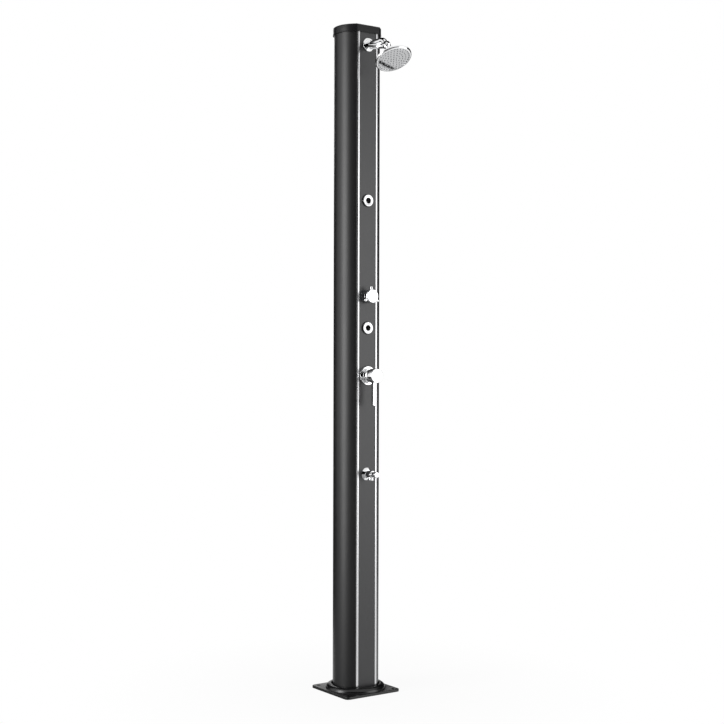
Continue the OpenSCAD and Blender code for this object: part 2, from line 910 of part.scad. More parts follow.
module head_shell() {
    ledge_z = head_depth - face_recess - face_t - pad_t;
    color(bright) at_ball(head_axis) difference() {
        union() {
            turned([
                [0, nut_front],
                [head_neck_r, nut_front],
                for (i = [0 : flare_steps]) [flare_r(i / flare_steps, 0), flare_z(i / flare_steps)],
                [head_r, head_depth - head_rim_edge],
                [0, head_depth - head_rim_edge],
            ]);
            translate([0, 0, head_depth - head_rim_h]) puck(head_r, head_rim_h, head_rim_edge);
        }
        sphere(r = pocket_r);
        cylinder(r = seat_hole_r, h = head_depth);
        translate([0, 0, ledge_z]) cylinder(r = face_r, h = head_depth);
        turned([
            [0, head_flare_z + head_wall],
            for (i = [0 : flare_steps])
                [flare_r(i / flare_steps, head_wall + face_ledge), flare_z(i / flare_steps) + head_wall],
            [face_r - face_ledge, head_depth],
            [0, head_depth],
        ]);
    }
}

// Places its children at the centre and on evenly spaced rings
ring_edge = 7.5;

module nozzle_pattern() {
    pitch = (face_r - ring_edge) / nozzle_rings;
    children();
    for (k = [1 : nozzle_rings], i = [0 : 6 * k - 1])
        rotate([0, 0, i * 60 / k]) translate([k * pitch, 0, 0]) children();
}

module head_face() {
    color(grey) at_ball(head_axis) difference() {
        translate([0, 0, head_depth - face_recess - face_t]) cylinder(r = face_r - fit, h = face_t);
        translate([0, 0, head_depth - face_recess - face_t - over])
            nozzle_pattern() cylinder(r = nozzle_r + fit, h = face_t + 2 * over);
    }
}

module head_nozzles() {
    color(grey) at_ball(head_axis) {
        translate([0, 0, head_depth - face_recess - face_t - pad_t]) cylinder(r = face_r - fit, h = pad_t);
        translate([0, 0, head_depth - face_recess - face_t - pad_t / 2])
            nozzle_pattern() cylinder(r = nozzle_r, h = face_t + tip_h + pad_t / 2);
    }
}

// The body jets: a barrel through the panel, a chrome ring, and a ball held in a race
jet_r = jet_ring_d / 2;
jet_ball_r = jet_ball_d / 2;
jet_ball_z = -6.5;
jet_flat = 7.5;
jet_bore_r = 3.6;
jet_mouth_r = 5;
jet_flange_r = jet_r - 1.2;
jet_flange_t = 1.2;
gasket_t = 1.2;
gasket_lip = 1.9;
ring_foot = 0.3;
race_t = 1.4;
race_cut = 3.8;
race_hole_r = 5.2;
ring_skirt_r = jet_barrel_r - 2.2;
jet_barrel_end = -40;
jet_nut_r = 20.5;
jet_nut_t = 6;
ring_edge_r = 1.4;
dish_edge = 2.4;
jet_joint_r = jet_ball_r + gap;
jet_pocket_r = jet_joint_r + race_t + gap;

module jet_gaskets() {
    color(black) for (z = [upper_jet_z, lower_jet_z])
        on_panel(z) ring(jet_r + gasket_lip, jet_barrel_r + fit, gasket_t);
}

module jet_nuts() {
    color(brass) for (z = [upper_jet_z, lower_jet_z])
        on_panel(z) translate([0, 0, -panel_t - jet_nut_t]) difference() {
            cylinder(r = jet_nut_r, h = jet_nut_t, $fn = 6);
            translate([0, 0, -over]) cylinder(r = jet_barrel_r + fit, h = jet_nut_t + 2 * over);
        }
}

module jet_body() {
    skirt_end = jet_ball_z;
    color(brass) difference() {
        union() {
            translate([0, 0, jet_barrel_end]) cylinder(r = jet_barrel_r, h = gasket_t - jet_barrel_end);
            translate([0, 0, gasket_t]) cylinder(r = jet_flange_r, h = jet_flange_t);
            translate([0, 0, channel_z]) rotate([0, 90, 0]) port(jet_port);
        }
        translate([0, 0, skirt_end]) cylinder(r = ring_skirt_r + fit, h = jet_proud - skirt_end);
        translate([0, 0, jet_ball_z]) sphere(r = jet_pocket_r);
        translate([0, 0, channel_z]) cylinder(r = race_hole_r, h = -channel_z);
        translate([0, 0, channel_z]) rotate([0, 90, 0]) port_bore(jet_port);
    }
}

module jet_ring() {
    throat_z = jet_ball_z + sqrt(pow(jet_joint_r, 2) - pow(jet_joint_r - dish_edge / 2, 2));
    color(bright) difference() {
        union() {
            translate([0, 0, gasket_t + ring_foot]) puck(jet_r, jet_proud - gasket_t - ring_foot, ring_edge_r);
            translate([0, 0, jet_ball_z]) cylinder(r = ring_skirt_r, h = jet_proud - jet_ball_z - ring_edge_r);
        }
        translate([0, 0, gasket_t]) ring_space(jet_flange_r + fit, ring_skirt_r, jet_flange_t);
        translate([0, 0, jet_ball_z]) sphere(r = jet_joint_r);
        dish(throat_z);
    }
}

// The space in the ring for the flange of the jet body
module ring_space(ro, ri, h) {
    difference() {
        cylinder(r = ro, h = h);
        translate([0, 0, -over]) cylinder(r = ri, h = h + 2 * over);
    }
}

// The dish of the ring: slightly hollow from the rim down to the lip, then the throat round the ball
dish_steps = 6;
dish_depth = 6;
dish_bulge_share = 0.15;
function dish_share(u) = u - dish_bulge_share * u * (1 - u);

module dish(throat_z) {
    top_r = jet_r - dish_edge;
    lip_z = jet_proud - dish_depth;
    turned([
        [0, throat_z - over],
        [jet_joint_r - dish_edge / 2, throat_z - over],
        [jet_joint_r - dish_edge / 2, throat_z],
        for (i = [0 : dish_steps]) let (u = i / dish_steps)
            [jet_joint_r + (top_r - jet_joint_r) * u, lip_z + dish_depth * dish_share(u)],
        [top_r, jet_proud + over],
        [0, jet_proud + over],
    ]);
}

module jet_race() {
    color(grey) translate([0, 0, jet_ball_z]) difference() {
        sphere(r = jet_joint_r + race_t);
        sphere(r = jet_joint_r);
        translate([0, 0, -race_cut]) cylinder(r = 2 * jet_ball_r, h = 2 * jet_ball_r);
        translate([0, 0, -2 * jet_ball_r]) cylinder(r = race_hole_r, h = 2 * jet_ball_r);
    }
}

module jet_ball() {
    color(bright) translate([0, 0, jet_ball_z]) difference() {
        sphere(r = jet_ball_r);
        translate([0, 0, jet_flat]) cylinder(r = jet_ball_r, h = jet_ball_r);
        translate([0, 0, -2 * jet_ball_r]) cylinder(r = jet_bore_r, h = 4 * jet_ball_r);
        translate([0, 0, jet_flat - dish_edge]) cylinder(r1 = jet_bore_r, r2 = jet_mouth_r, h = dish_edge + fit);
    }
}

module upper_jet_body() { on_panel(upper_jet_z) jet_body(); }
module upper_jet_ring() { on_panel(upper_jet_z) jet_ring(); }
module upper_jet_race() { on_panel(upper_jet_z) jet_race(); }
module upper_jet_ball() { on_panel(upper_jet_z) jet_ball(); }
module lower_jet_body() { on_panel(lower_jet_z) jet_body(); }
module lower_jet_ring() { on_panel(lower_jet_z) jet_ring(); }
module lower_jet_race() { on_panel(lower_jet_z) jet_race(); }
module lower_jet_ball() { on_panel(lower_jet_z) jet_ball(); }

// The diverter: a body behind the panel, a spindle in it, and a knob with three pegs
diverter_r = 15;
diverter_end = -44;
spindle_r = 6;
spindle_end = -24;
chamber_r = 6.6;
diverter_rosette_r = 16.5;
diverter_rosette_h = 8;
diverter_rosette_edge = 1.5;
knob_neck_r = 11;
knob_depth = 14;
knob_dome = 3.5;
knob_edge = 2;
peg_back = 6;
spindle_tip = 6;

module diverter_body() {
    color(brass) on_panel(diverter_z) difference() {
        union() {
            translate([0, 0, diverter_end]) cylinder(r = diverter_r, h = -diverter_end - panel_t);
            translate([0, 0, -panel_t - elbow_flange_t]) cylinder(r = elbow_flange_r, h = elbow_flange_t);
            translate([0, 0, -panel_t - over]) cylinder(r = union_r, h = panel_t + nut_t + over);
            translate([0, 0, channel_z]) for (a = [[0, 90, 0], [0, -90, 0], [90, 0, 0]]) rotate(a) port(diverter_port);
        }
        translate([0, 0, spindle_end]) cylinder(r = spindle_r + run_fit, h = nut_t - spindle_end + over);
        translate([0, 0, channel_z]) {
            for (a = [[0, 90, 0], [0, -90, 0], [90, 0, 0]]) rotate(a) port_bore(diverter_port);
            translate([0, 0, -chamber_r]) cylinder(r = chamber_r, h = chamber_r - channel_z + spindle_end + over);
        }
    }
}

module diverter_rosette() {
    color(bright) on_panel(diverter_z) rosette(diverter_rosette_r, diverter_rosette_h, diverter_rosette_edge,
        nut_r + gap, spindle_r + 2 * gap, spindle_r + 4 * gap, gap);
}

module diverter_spindle() {
    color(brass) on_panel(diverter_z) translate([0, 0, spindle_end])
        cylinder(r = spindle_r, h = knob_reach - spindle_tip - spindle_end);
}

module diverter_knob() {
    knob_r = knob_d / 2;
    back = knob_reach - knob_depth;
    color(bright) on_panel(diverter_z) difference() {
        union() {
            translate([0, 0, diverter_rosette_h + 2 * gap])
                cylinder(r = knob_neck_r, h = back - diverter_rosette_h);
            translate([0, 0, back]) puck(knob_r, knob_depth, knob_edge);
            intersection() {
                translate([0, 0, knob_reach - knob_depth / 2]) cylinder(r = knob_r - knob_edge, h = knob_depth);
                dome_r = (pow(knob_r - knob_edge, 2) + pow(knob_dome, 2)) / (2 * knob_dome);
                translate([0, 0, knob_reach + knob_dome - dome_r]) sphere(r = dome_r);
            }
            for (i = [0 : 2]) rotate([0, 0, 90 + 120 * i])
                translate([0, 0, knob_reach - peg_back]) rotate([0, 90, 0])
                    puck(peg_d / 2, peg_reach, peg_d / 4);
        }
        cylinder(r = spindle_r + fit, h = knob_reach - spindle_tip);
    }
}

// The mixer: a body behind the panel, a cartridge, and a handle that turns with the turret and tilts on its pin
mixer_r = 24;
mixer_flange_r = 27;
mixer_flange_t = 5;
mixer_end = -41;
mixer_neck_h = 11;
cartridge_r = 17.5;
cartridge_floor = -19;
feed_r = 3;
feed_at = 8;
feed_cup = 5;
boss_r = 12.5;
boss_h = 3;
mixer_rosette_h = 7;
mixer_rosette_edge = 2;
rosette_groove_d = 2;
rosette_groove_w = 3.4;
cap_nut_wall = 2.4;
sleeve_wall = 1.4;
pivot_z = 16;
dome_r = 21;
dome_wall = 1.5;
dome_hole_r = 13.5;
sleeve_shoulder = 1.3;
turret_r = 9;
turret_low = -5;
turret_high = 20;
stem_w = 6;
stem_knuckle_r = 4;
slot_floor = 11.5;
pin_r = 1.5;
stem_tip = 4;
handle_back = 26.5;
handle_taper = 2;
handle_taper_h = 3;
handle_edge = 2.2;
lever_back = 32;
lever_root = 19;
lever_edge = 1.5;
grub_r = 2;
grub_z = 50;

module mixer_body() {
    color(brass) on_panel(mixer_z) difference() {
        union() {
            translate([0, 0, mixer_end]) cylinder(r = mixer_r, h = -mixer_end - panel_t);
            translate([0, 0, -panel_t - mixer_flange_t]) cylinder(r = mixer_flange_r, h = mixer_flange_t);
            translate([0, 0, -panel_t - over]) cylinder(r = mixer_neck_r, h = panel_t + mixer_neck_h + over);
            translate([0, 0, channel_z]) for (a = [[0, 90, 0], [0, -90, 0], [-90, 0, 0]]) rotate(a) port(mixer_port);
        }
        translate([0, 0, cartridge_floor]) cylinder(r = cartridge_r + fit, h = mixer_neck_h - cartridge_floor + over);
        translate([0, 0, channel_z]) for (a = [[0, 90, 0], [0, -90, 0], [-90, 0, 0]]) rotate(a)
            translate([0, 0, feed_at]) port_bore(mixer_port - feed_at);
        mixer_feeds(channel_z, cartridge_floor - channel_z + over);
    }
}

// The three waterways between the ports and the cartridge
module mixer_feeds(z, h) {
    for (a = [0, 90, 180]) rotate([0, 0, a]) translate([feed_at, 0, z]) cylinder(r = feed_r, h = h);
}

module mixer_cartridge() {
    color(grey) on_panel(mixer_z) difference() {
        union() {
            translate([0, 0, cartridge_floor]) cylinder(r = cartridge_r, h = mixer_neck_h - cartridge_floor);
            cylinder(r = boss_r, h = mixer_neck_h + boss_h);
        }
        translate([0, 0, turret_low]) cylinder(r = turret_r + run_fit, h = mixer_neck_h + boss_h - turret_low + over);
        mixer_feeds(cartridge_floor - over, feed_cup + over);
    }
}

module mixer_rosette() {
    r = mixer_rosette_d / 2;
    groove_r = r - mixer_rosette_edge - sleeve_wall;
    color(bright) on_panel(mixer_z) difference() {
        puck(r, mixer_rosette_h, mixer_rosette_edge);
        translate([0, 0, -over]) cylinder(r = mixer_neck_r + fit, h = mixer_rosette_h + 2 * over);
        translate([0, 0, mixer_rosette_h - rosette_groove_d])
            ring(groove_r, groove_r - rosette_groove_w / 2, rosette_groove_d + over);
    }
}

module mixer_cap_nut() {
    color(brass) on_panel(mixer_z) difference() {
        translate([0, 0, mixer_rosette_h])
            cylinder(r = mixer_neck_r + cap_nut_wall, h = mixer_neck_h + boss_h - mixer_rosette_h);
        cylinder(r = mixer_neck_r + fit, h = mixer_neck_h);
        cylinder(r = boss_r + fit, h = mixer_neck_h + boss_h + over);
    }
}

module mixer_sleeve() {
    nut_top = mixer_neck_h + boss_h + fit;
    sleeve_in = mixer_neck_r + cap_nut_wall + fit;
    color(bright) on_panel(mixer_z) difference() {
        union() {
            translate([0, 0, mixer_rosette_h])
                puck(sleeve_in + sleeve_wall, nut_top + sleeve_shoulder - mixer_rosette_h, sleeve_shoulder / 2);
            intersection() {
                translate([0, 0, pivot_z]) sphere(r = dome_r);
                translate([0, 0, nut_top]) cylinder(r = dome_r, h = 2 * dome_r);
            }
        }
        cylinder(r = sleeve_in, h = nut_top);
        translate([0, 0, pivot_z]) sphere(r = dome_r - dome_wall);
        cylinder(r = dome_hole_r, h = pivot_z + 2 * dome_r);
    }
}

module mixer_turret() {
    slot_w = stem_w + fit * 2;
    color(grey) on_panel(mixer_z) {
        difference() {
            translate([0, 0, turret_low]) cylinder(r = turret_r, h = turret_high - turret_low);
            translate([-slot_w / 2, -turret_r - over, slot_floor]) cube([slot_w, 2 * (turret_r + over), turret_high]);
        }
        translate([-turret_r + over, 0, pivot_z]) rotate([0, 90, 0]) cylinder(r = pin_r, h = 2 * (turret_r - over));
    }
}

module mixer_stem() {
    color(brass) on_panel(mixer_z) difference() {
        union() {
            translate([-stem_w / 2, 0, pivot_z]) rotate([0, 90, 0]) cylinder(r = stem_knuckle_r, h = stem_w);
            translate([-stem_w / 2, -stem_w / 2, pivot_z]) cube([stem_w, stem_w, handle_reach - stem_tip - pivot_z]);
        }
        translate([-stem_w, 0, pivot_z]) rotate([0, 90, 0]) cylinder(r = pin_r + run_fit, h = 2 * stem_w);
    }
}

module mixer_handle() {
    r = handle_d / 2;
    hole_w = stem_w + 2 * fit;
    color(bright) on_panel(mixer_z) difference() {
        union() {
            translate([0, 0, handle_back]) cylinder(r1 = r - handle_taper, r2 = r, h = handle_taper_h);
            translate([0, 0, handle_back + handle_taper_h])
                puck(r, handle_reach - handle_back - handle_taper_h, handle_edge);
        }
        translate([0, 0, pivot_z]) sphere(r = dome_r + 2 * gap);
        translate([-hole_w / 2, -hole_w / 2, pivot_z]) cube([hole_w, hole_w, handle_reach - stem_tip + fit - pivot_z]);
        translate([-lever_w / 2 - fit, -r - over, lever_back - fit])
            cube([lever_w + 2 * fit, r + over - lever_root, lever_t + 2 * fit]);
        translate([0, 0, grub_z]) rotate([90, 0, 0]) cylinder(r = grub_r + fit, h = r + over);
    }
}

// The lever: a bar with round edges and a rounded tip, which hangs from the handle
module mixer_lever() {
    length = lever_reach - lever_root;
    color(bright) on_panel(mixer_z) translate([0, -lever_root - length / 2, lever_back + lever_t / 2]) intersection() {
        rotate([90, 0, 0]) translate([0, 0, -length / 2]) linear_extrude(length) round_rect(lever_w, lever_t, lever_edge);
        translate([0, 0, -lever_t]) linear_extrude(2 * lever_t) union() {
            round_rect(lever_w, length, lever_edge);
            translate([-lever_w / 2, 0]) square([lever_w, length / 2]);
        }
    }
}

module handle_screw() {
    tip = stem_w / 2 + fit;
    color(brass) on_panel(mixer_z) translate([0, -tip, grub_z]) rotate([90, 0, 0]) difference() {
        cylinder(r = grub_r, h = handle_d / 2 - tip - over);
        translate([0, 0, handle_d / 2 - tip - over - 2 * grub_r]) cylinder(r = grub_r / 2, h = 3 * grub_r, $fn = 6);
    }
}

// The foot tap: a tee behind the panel, a body with a downward outlet, and a front knob on its spindle
tap_shank = 21;
tap_flange_r = 14;
tap_flange_t = 3.5;
tap_bonnet = 34;
tap_bonnet_r = 10.6;
tap_bonnet_h = 3;
outlet_at = 24;
outlet_r = 8.6;
outlet_bore_r = 5.5;
outlet_edge = 2;
tap_bore_r = 5;
tap_seat = 14;
tap_rosette_h = 7;
tap_rosette_edge = 2;
tap_knob_r = 9.6;
tap_knob_edge = 1.6;
tap_flutes = 8;
flute_r = 1.4;

module tap_tee() {
    branch = -channel_z - panel_t - nut_t - tee_gap;
    color(brass) on_panel(tap_z) difference() {
        union() {
            translate([0, -tee_port, channel_z]) rotate([-90, 0, 0]) cylinder(r = port_r, h = 2 * tee_port);
            translate([0, 0, channel_z - port_r - tee_gap]) cylinder(r = tee_r, h = branch + port_r + tee_gap);
        }
        translate([0, 0, channel_z]) {
            rotate([90, 0, 0]) port_bore(tee_port);
            rotate([-90, 0, 0]) port_bore(tee_port);
            cylinder(r = tap_bore_r, h = branch + over);
        }
        translate([0, 0, -tap_shank]) cylinder(r = union_r + fit, h = tap_shank);
    }
}

module tap_body() {
    color(bright) on_panel(tap_z) difference() {
        union() {
            translate([0, 0, -tap_shank]) cylinder(r = union_r, h = tap_shank + over);
            cylinder(r = tap_flange_r, h = tap_flange_t);
            cylinder(d = tap_barrel_d, h = tap_bonnet);
            translate([0, 0, tap_bonnet - over]) cylinder(r = tap_bonnet_r, h = tap_bonnet_h + over);
            translate([0, 0, outlet_at]) rotate([90, 0, 0]) puck(outlet_r, tap_drop, outlet_edge);
        }
        translate([0, 0, -tap_shank - over]) cylinder(r = tap_bore_r, h = tap_shank + tap_bonnet + tap_bonnet_h + 2 * over);
        translate([0, 0, outlet_at]) rotate([90, 0, 0]) cylinder(r = outlet_bore_r, h = tap_drop + over);
    }
}

module tap_rosette() {
    color(bright) on_panel(tap_z) rosette(tap_rosette_d / 2, tap_rosette_h, tap_rosette_edge,
        tap_flange_r + fit, tap_barrel_d / 2 + fit, tap_rosette_d / 2 - 2 * tap_rosette_edge, rosette_nut_wall / 2);
}

module tap_knob() {
    knob_back = tap_bonnet + tap_bonnet_h + gap;
    knob_h = tap_reach - knob_back;
    color(bright) on_panel(tap_z) {
        difference() {
            translate([0, 0, knob_back]) puck(tap_knob_r, knob_h, tap_knob_edge);
            for (i = [0 : tap_flutes - 1]) rotate([0, 0, i * 360 / tap_flutes])
                translate([tap_knob_r + flute_r / 2, 0, knob_back - over]) cylinder(r = flute_r, h = knob_h + 2 * over);
        }
        translate([0, 0, outlet_at + outlet_bore_r])
            cylinder(r = tap_bore_r - run_fit, h = knob_back - outlet_at - outlet_bore_r + over);
    }
}

base_flange();
base_screws();
foot_plug();
rear_shell();
front_panel();
trim_strip_left();
trim_strip_right();
top_cap();
tank_body();
tank_top_lid();
tank_bottom_lid();
inlet_washer();
inlet_union();
hose_nipple();
inlet_tee();
tank_feed_pipe();
cold_riser_lower();
cold_riser_upper();
hot_pipe();
mixed_riser();
head_riser();
jet_pipe();
arm_elbow();
arm_escutcheon();
shower_arm();
ball_stem();
lock_nuts();
head_seat();
collar_nut();
head_shell();
head_face();
head_nozzles();
jet_gaskets();
jet_nuts();
upper_jet_body();
upper_jet_ring();
upper_jet_race();
upper_jet_ball();
lower_jet_body();
lower_jet_ring();
lower_jet_race();
lower_jet_ball();
diverter_body();
diverter_rosette();
diverter_spindle();
diverter_knob();
mixer_body();
mixer_cartridge();
mixer_rosette();
mixer_cap_nut();
mixer_sleeve();
mixer_turret();
mixer_stem();
mixer_handle();
mixer_lever();
handle_screw();
tap_tee();
tap_body();
tap_rosette();
tap_knob();
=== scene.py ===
"""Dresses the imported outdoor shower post: its finishes, its rounded pieces, the studio and the camera."""

import json
import logging
import math
from collections.abc import Callable, Sequence
from dataclasses import dataclass
from enum import Enum, IntEnum

import bpy
from mathutils import Matrix, Vector

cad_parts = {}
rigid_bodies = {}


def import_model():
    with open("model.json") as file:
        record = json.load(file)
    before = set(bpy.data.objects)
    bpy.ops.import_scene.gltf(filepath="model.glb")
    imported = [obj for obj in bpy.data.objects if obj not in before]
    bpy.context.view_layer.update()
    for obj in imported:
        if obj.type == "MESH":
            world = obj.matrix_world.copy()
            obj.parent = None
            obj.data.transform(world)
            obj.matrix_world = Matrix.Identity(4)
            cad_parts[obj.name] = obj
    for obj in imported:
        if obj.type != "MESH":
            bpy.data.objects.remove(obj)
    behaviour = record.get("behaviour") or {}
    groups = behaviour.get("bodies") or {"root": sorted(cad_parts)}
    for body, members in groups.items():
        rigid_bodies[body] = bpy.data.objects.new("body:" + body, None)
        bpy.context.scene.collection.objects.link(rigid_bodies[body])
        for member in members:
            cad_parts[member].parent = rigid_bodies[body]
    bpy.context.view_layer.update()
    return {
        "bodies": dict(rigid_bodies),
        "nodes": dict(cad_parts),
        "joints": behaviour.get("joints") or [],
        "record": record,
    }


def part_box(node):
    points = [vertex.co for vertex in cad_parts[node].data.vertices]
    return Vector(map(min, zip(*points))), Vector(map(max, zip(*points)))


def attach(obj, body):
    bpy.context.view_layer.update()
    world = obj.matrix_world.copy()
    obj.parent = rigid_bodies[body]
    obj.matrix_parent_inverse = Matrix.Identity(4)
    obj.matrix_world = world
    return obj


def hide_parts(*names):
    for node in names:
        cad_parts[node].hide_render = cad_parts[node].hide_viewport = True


log = logging.getLogger("shower_post")

Piece = bpy.types.Object
Node = bpy.types.Node
Socket = bpy.types.NodeSocket
Corner = tuple[float, ...]

# A millimetre and the smallest length that counts, in metres
MM = 0.001
TINY = 1e-6


class Body(Enum):
    """The moving bodies that new pieces ride on."""

    POST = "post"
    HEAD = "shower_head"
    DIVERTER = "diverter_knob"
    HANDLE = "mixer_handle"
    TAP = "tap_knob"
    UPPER_JET = "upper_jet_ball"
    LOWER_JET = "lower_jet_ball"


# Finishes


class Graph:
    """A node tree being filled, with short ways to add and feed nodes."""

    def __init__(self, tree: bpy.types.NodeTree) -> None:
        """Starts on a tree."""
        self.tree = tree

    def feed(self, node: Node, inputs: dict[str | int, object]) -> None:
        """Sets inputs of a node.

        Args:
            node: The node.
            inputs: The value of each input, or the output that it is linked to.
        """
        for label, value in inputs.items():
            if isinstance(value, Socket):
                self.tree.links.new(value, node.inputs[label])
            else:
                node.inputs[label].default_value = value

    def add(self, kind: str, inputs: dict[str | int, object] | None = None, **settings: object) -> Node:
        """Adds a node.

        Args:
            kind: The node's type name without its ShaderNode prefix.
            inputs: What feed() gives it.
            **settings: Settings of the node, such as its operation.

        Returns:
            The new node.
        """
        node = self.tree.nodes.new("ShaderNode" + kind)
        for key, value in settings.items():
            setattr(node, key, value)
        self.feed(node, inputs or {})
        return node

    def work_out(self, operation: str, first: Socket, second: Socket | float = 0.0) -> Socket:
        """Works out one value from one or two others."""
        return self.add("Math", {0: first, 1: second}, operation=operation).outputs[0]


def new_material(name: str) -> tuple[bpy.types.Material, Graph, Node]:
    """Starts a material.

    Args:
        name: Its name.

    Returns:
        The material, its graph and its Principled shader.
    """
    material = bpy.data.materials.new(name)
    material.use_nodes = True
    return material, Graph(material.node_tree), material.node_tree.nodes["Principled BSDF"]


class Effects:
    """Shader groups that several finishes share, each built once."""

    _made: dict[str, bpy.types.NodeTree] = {}

    @classmethod
    def _group(
        cls, name: str, values: dict[str, float], outputs: Sequence[str]
    ) -> tuple[Graph, Node, Node]:
        """Starts a group that reads coordinates and some numbers.

        Args:
            name: The group's name.
            values: Name and starting value of each number that it reads.
            outputs: Name of each number that it gives.

        Returns:
            The graph, its input node and its output node.
        """
        tree = bpy.data.node_groups.new(name, "ShaderNodeTree")
        tree.interface.new_socket("Vector", in_out="INPUT", socket_type="NodeSocketVector")
        for label, value in values.items():
            socket = tree.interface.new_socket(label, in_out="INPUT", socket_type="NodeSocketFloat")
            socket.default_value = value
        for label in outputs:
            tree.interface.new_socket(label, in_out="OUTPUT", socket_type="NodeSocketFloat")
        cls._made[name] = tree
        return Graph(tree), tree.nodes.new("NodeGroupInput"), tree.nodes.new("NodeGroupOutput")

    @classmethod
    def mottle(cls) -> bpy.types.NodeTree:
        """Gives a slow and a fine unevenness, both about 0.5.

        Returns:
            The group.
        """
        if "mottle" not in cls._made:
            graph, start, end = cls._group("mottle", {"Slow": 6.0, "Fine": 900.0}, ("Slow", "Fine"))
            for label, detail in (("Slow", 4.0), ("Fine", 2.0)):
                place, scale = start.outputs["Vector"], start.outputs[label]
                noise = graph.add("TexNoise", {"Vector": place, "Scale": scale, "Detail": detail})
                graph.feed(end, {label: noise.outputs["Fac"]})
        return cls._made["mottle"]

    @classmethod
    def grain(cls) -> bpy.types.NodeTree:
        """Draws fine lines along Z, as a drawn or brushed profile has.

        Returns:
            The group.
        """
        if "grain" not in cls._made:
            graph, start, end = cls._group("grain", {"Lines": 2400.0}, ("Height",))
            squeeze = {0: start.outputs["Vector"], 1: (1.0, 1.0, 0.004)}
            place = graph.add("VectorMath", squeeze, operation="MULTIPLY").outputs["Vector"]
            inputs = {"Vector": place, "Scale": start.outputs["Lines"], "Detail": 2.0}
            graph.feed(end, {"Height": graph.add("TexNoise", inputs).outputs["Fac"]})
        return cls._made["grain"]


@dataclass(frozen=True)
class Finish:
    """A painted, plated or moulded surface.

    Args:
        name: The record's slot that it belongs to.
        colour: Its colour, linear red, green and blue.
        rough: Its mean roughness.
        rough_swing: How far the roughness wanders.
        metal: 1 for a metal, 0 for a paint or plastic.
        shine: Specular level of a paint or plastic.
        tone_swing: How far the colour wanders, as a share.
        slow: Cells per metre of the slow unevenness.
        fine: Cells per metre of the fine unevenness.
        bump: Depth of the fine unevenness, in metres.
        grain: Depth of fine lines along the post, in metres.
    """

    name: str
    colour: tuple[float, float, float]
    rough: float
    rough_swing: float = 0.05
    metal: float = 0.0
    shine: float = 0.5
    tone_swing: float = 0.08
    slow: float = 6.0
    fine: float = 900.0
    bump: float = 0.0
    grain: float = 0.0

    def make(self) -> bpy.types.Material:
        """Builds the material.

        Returns:
            The material, named after the slot.
        """
        material, graph, shader = new_material(self.name)
        place = graph.add("TexCoord").outputs["Object"]
        inputs = {"Vector": place, "Slow": self.slow, "Fine": self.fine}
        mottle = graph.add("Group", inputs, node_tree=Effects.mottle())
        swing = {"To Min": self.rough - self.rough_swing, "To Max": self.rough + self.rough_swing}
        rough = graph.add("MapRange", {"Value": mottle.outputs["Slow"], **swing})
        graph.feed(shader, {
            "Base Color": self._tone(graph, mottle.outputs["Slow"]),
            "Metallic": self.metal,
            "Roughness": rough.outputs["Result"],
            "Specular IOR Level": self.shine,
        })
        if self.bump or self.grain:
            graph.feed(shader, {"Normal": self._relief(graph, place, mottle.outputs["Fine"])})
        material.diffuse_color = (*self.colour, 1.0)
        return material

    def _tone(self, graph: Graph, swing: Socket) -> Socket:
        """Lets the colour wander a little about its mean.

        Args:
            graph: The material's graph.
            swing: The slow unevenness.

        Returns:
            The colour.
        """
        dim, lift = 1.0 - self.tone_swing, 1.0 + self.tone_swing
        dark = (*(c * dim for c in self.colour), 1.0)
        light = (*(min(c * lift, 1.0) for c in self.colour), 1.0)
        mix = graph.add("Mix", {"A": dark, "B": light, "Factor": swing}, data_type="RGBA")
        return mix.outputs["Result"]

    def _relief(self, graph: Graph, place: Socket, height: Socket) -> Socket:
        """Raises the fine unevenness, or the grain where there is one, as a bump.

        Args:
            graph: The material's graph.
            place: The coordinates.
            height: The fine unevenness.

        Returns:
            The normal.
        """
        if self.grain:
            height = graph.add("Group", {"Vector": place}, node_tree=Effects.grain()).outputs["Height"]
        return graph.add("Bump", {"Height": height, "Distance": self.grain or self.bump}).outputs["Normal"]


FINISHES = (
    Finish("shell_paint", (0.006, 0.006, 0.0065), 0.40, bump=0.00003, fine=1600.0),
    Finish("panel_paint", (0.044, 0.044, 0.046), 0.36, grain=0.00002),
    Finish("base_black", (0.003, 0.003, 0.0035), 0.28, bump=0.00003, fine=260.0),
    Finish("cap_black", (0.006, 0.006, 0.007), 0.36, shine=0.3, bump=0.00003, fine=700.0),
    Finish("strip_chrome", (0.62, 0.62, 0.63), 0.27, 0.03, metal=1.0, tone_swing=0.05),
    Finish("steel_screw", (0.55, 0.55, 0.56), 0.3, metal=1.0),
    Finish("plug_plastic", (0.02, 0.021, 0.023), 0.55, bump=0.00003),
    Finish("pipe_cold", (0.03, 0.08, 0.28), 0.45),
    Finish("pipe_hot", (0.32, 0.03, 0.02), 0.45),
    Finish("rubber_black", (0.012, 0.012, 0.012), 0.7, shine=0.3, bump=0.00004),
    Finish("brass", (0.72, 0.48, 0.18), 0.26, metal=1.0, bump=0.00001),
    Finish("chrome", (0.84, 0.845, 0.85), 0.05, 0.02, metal=1.0, tone_swing=0.02),
    Finish("head_chrome", (0.84, 0.845, 0.85), 0.06, 0.02, metal=1.0, tone_swing=0.02),
    Finish("face_grey", (0.52, 0.525, 0.53), 0.05, 0.03, metal=1.0, tone_swing=0.03),
    Finish("nozzle_rubber", (0.4, 0.41, 0.42), 0.5, bump=0.00002),
    Finish("white_plastic", (0.7, 0.7, 0.69), 0.4),
)


# Studio


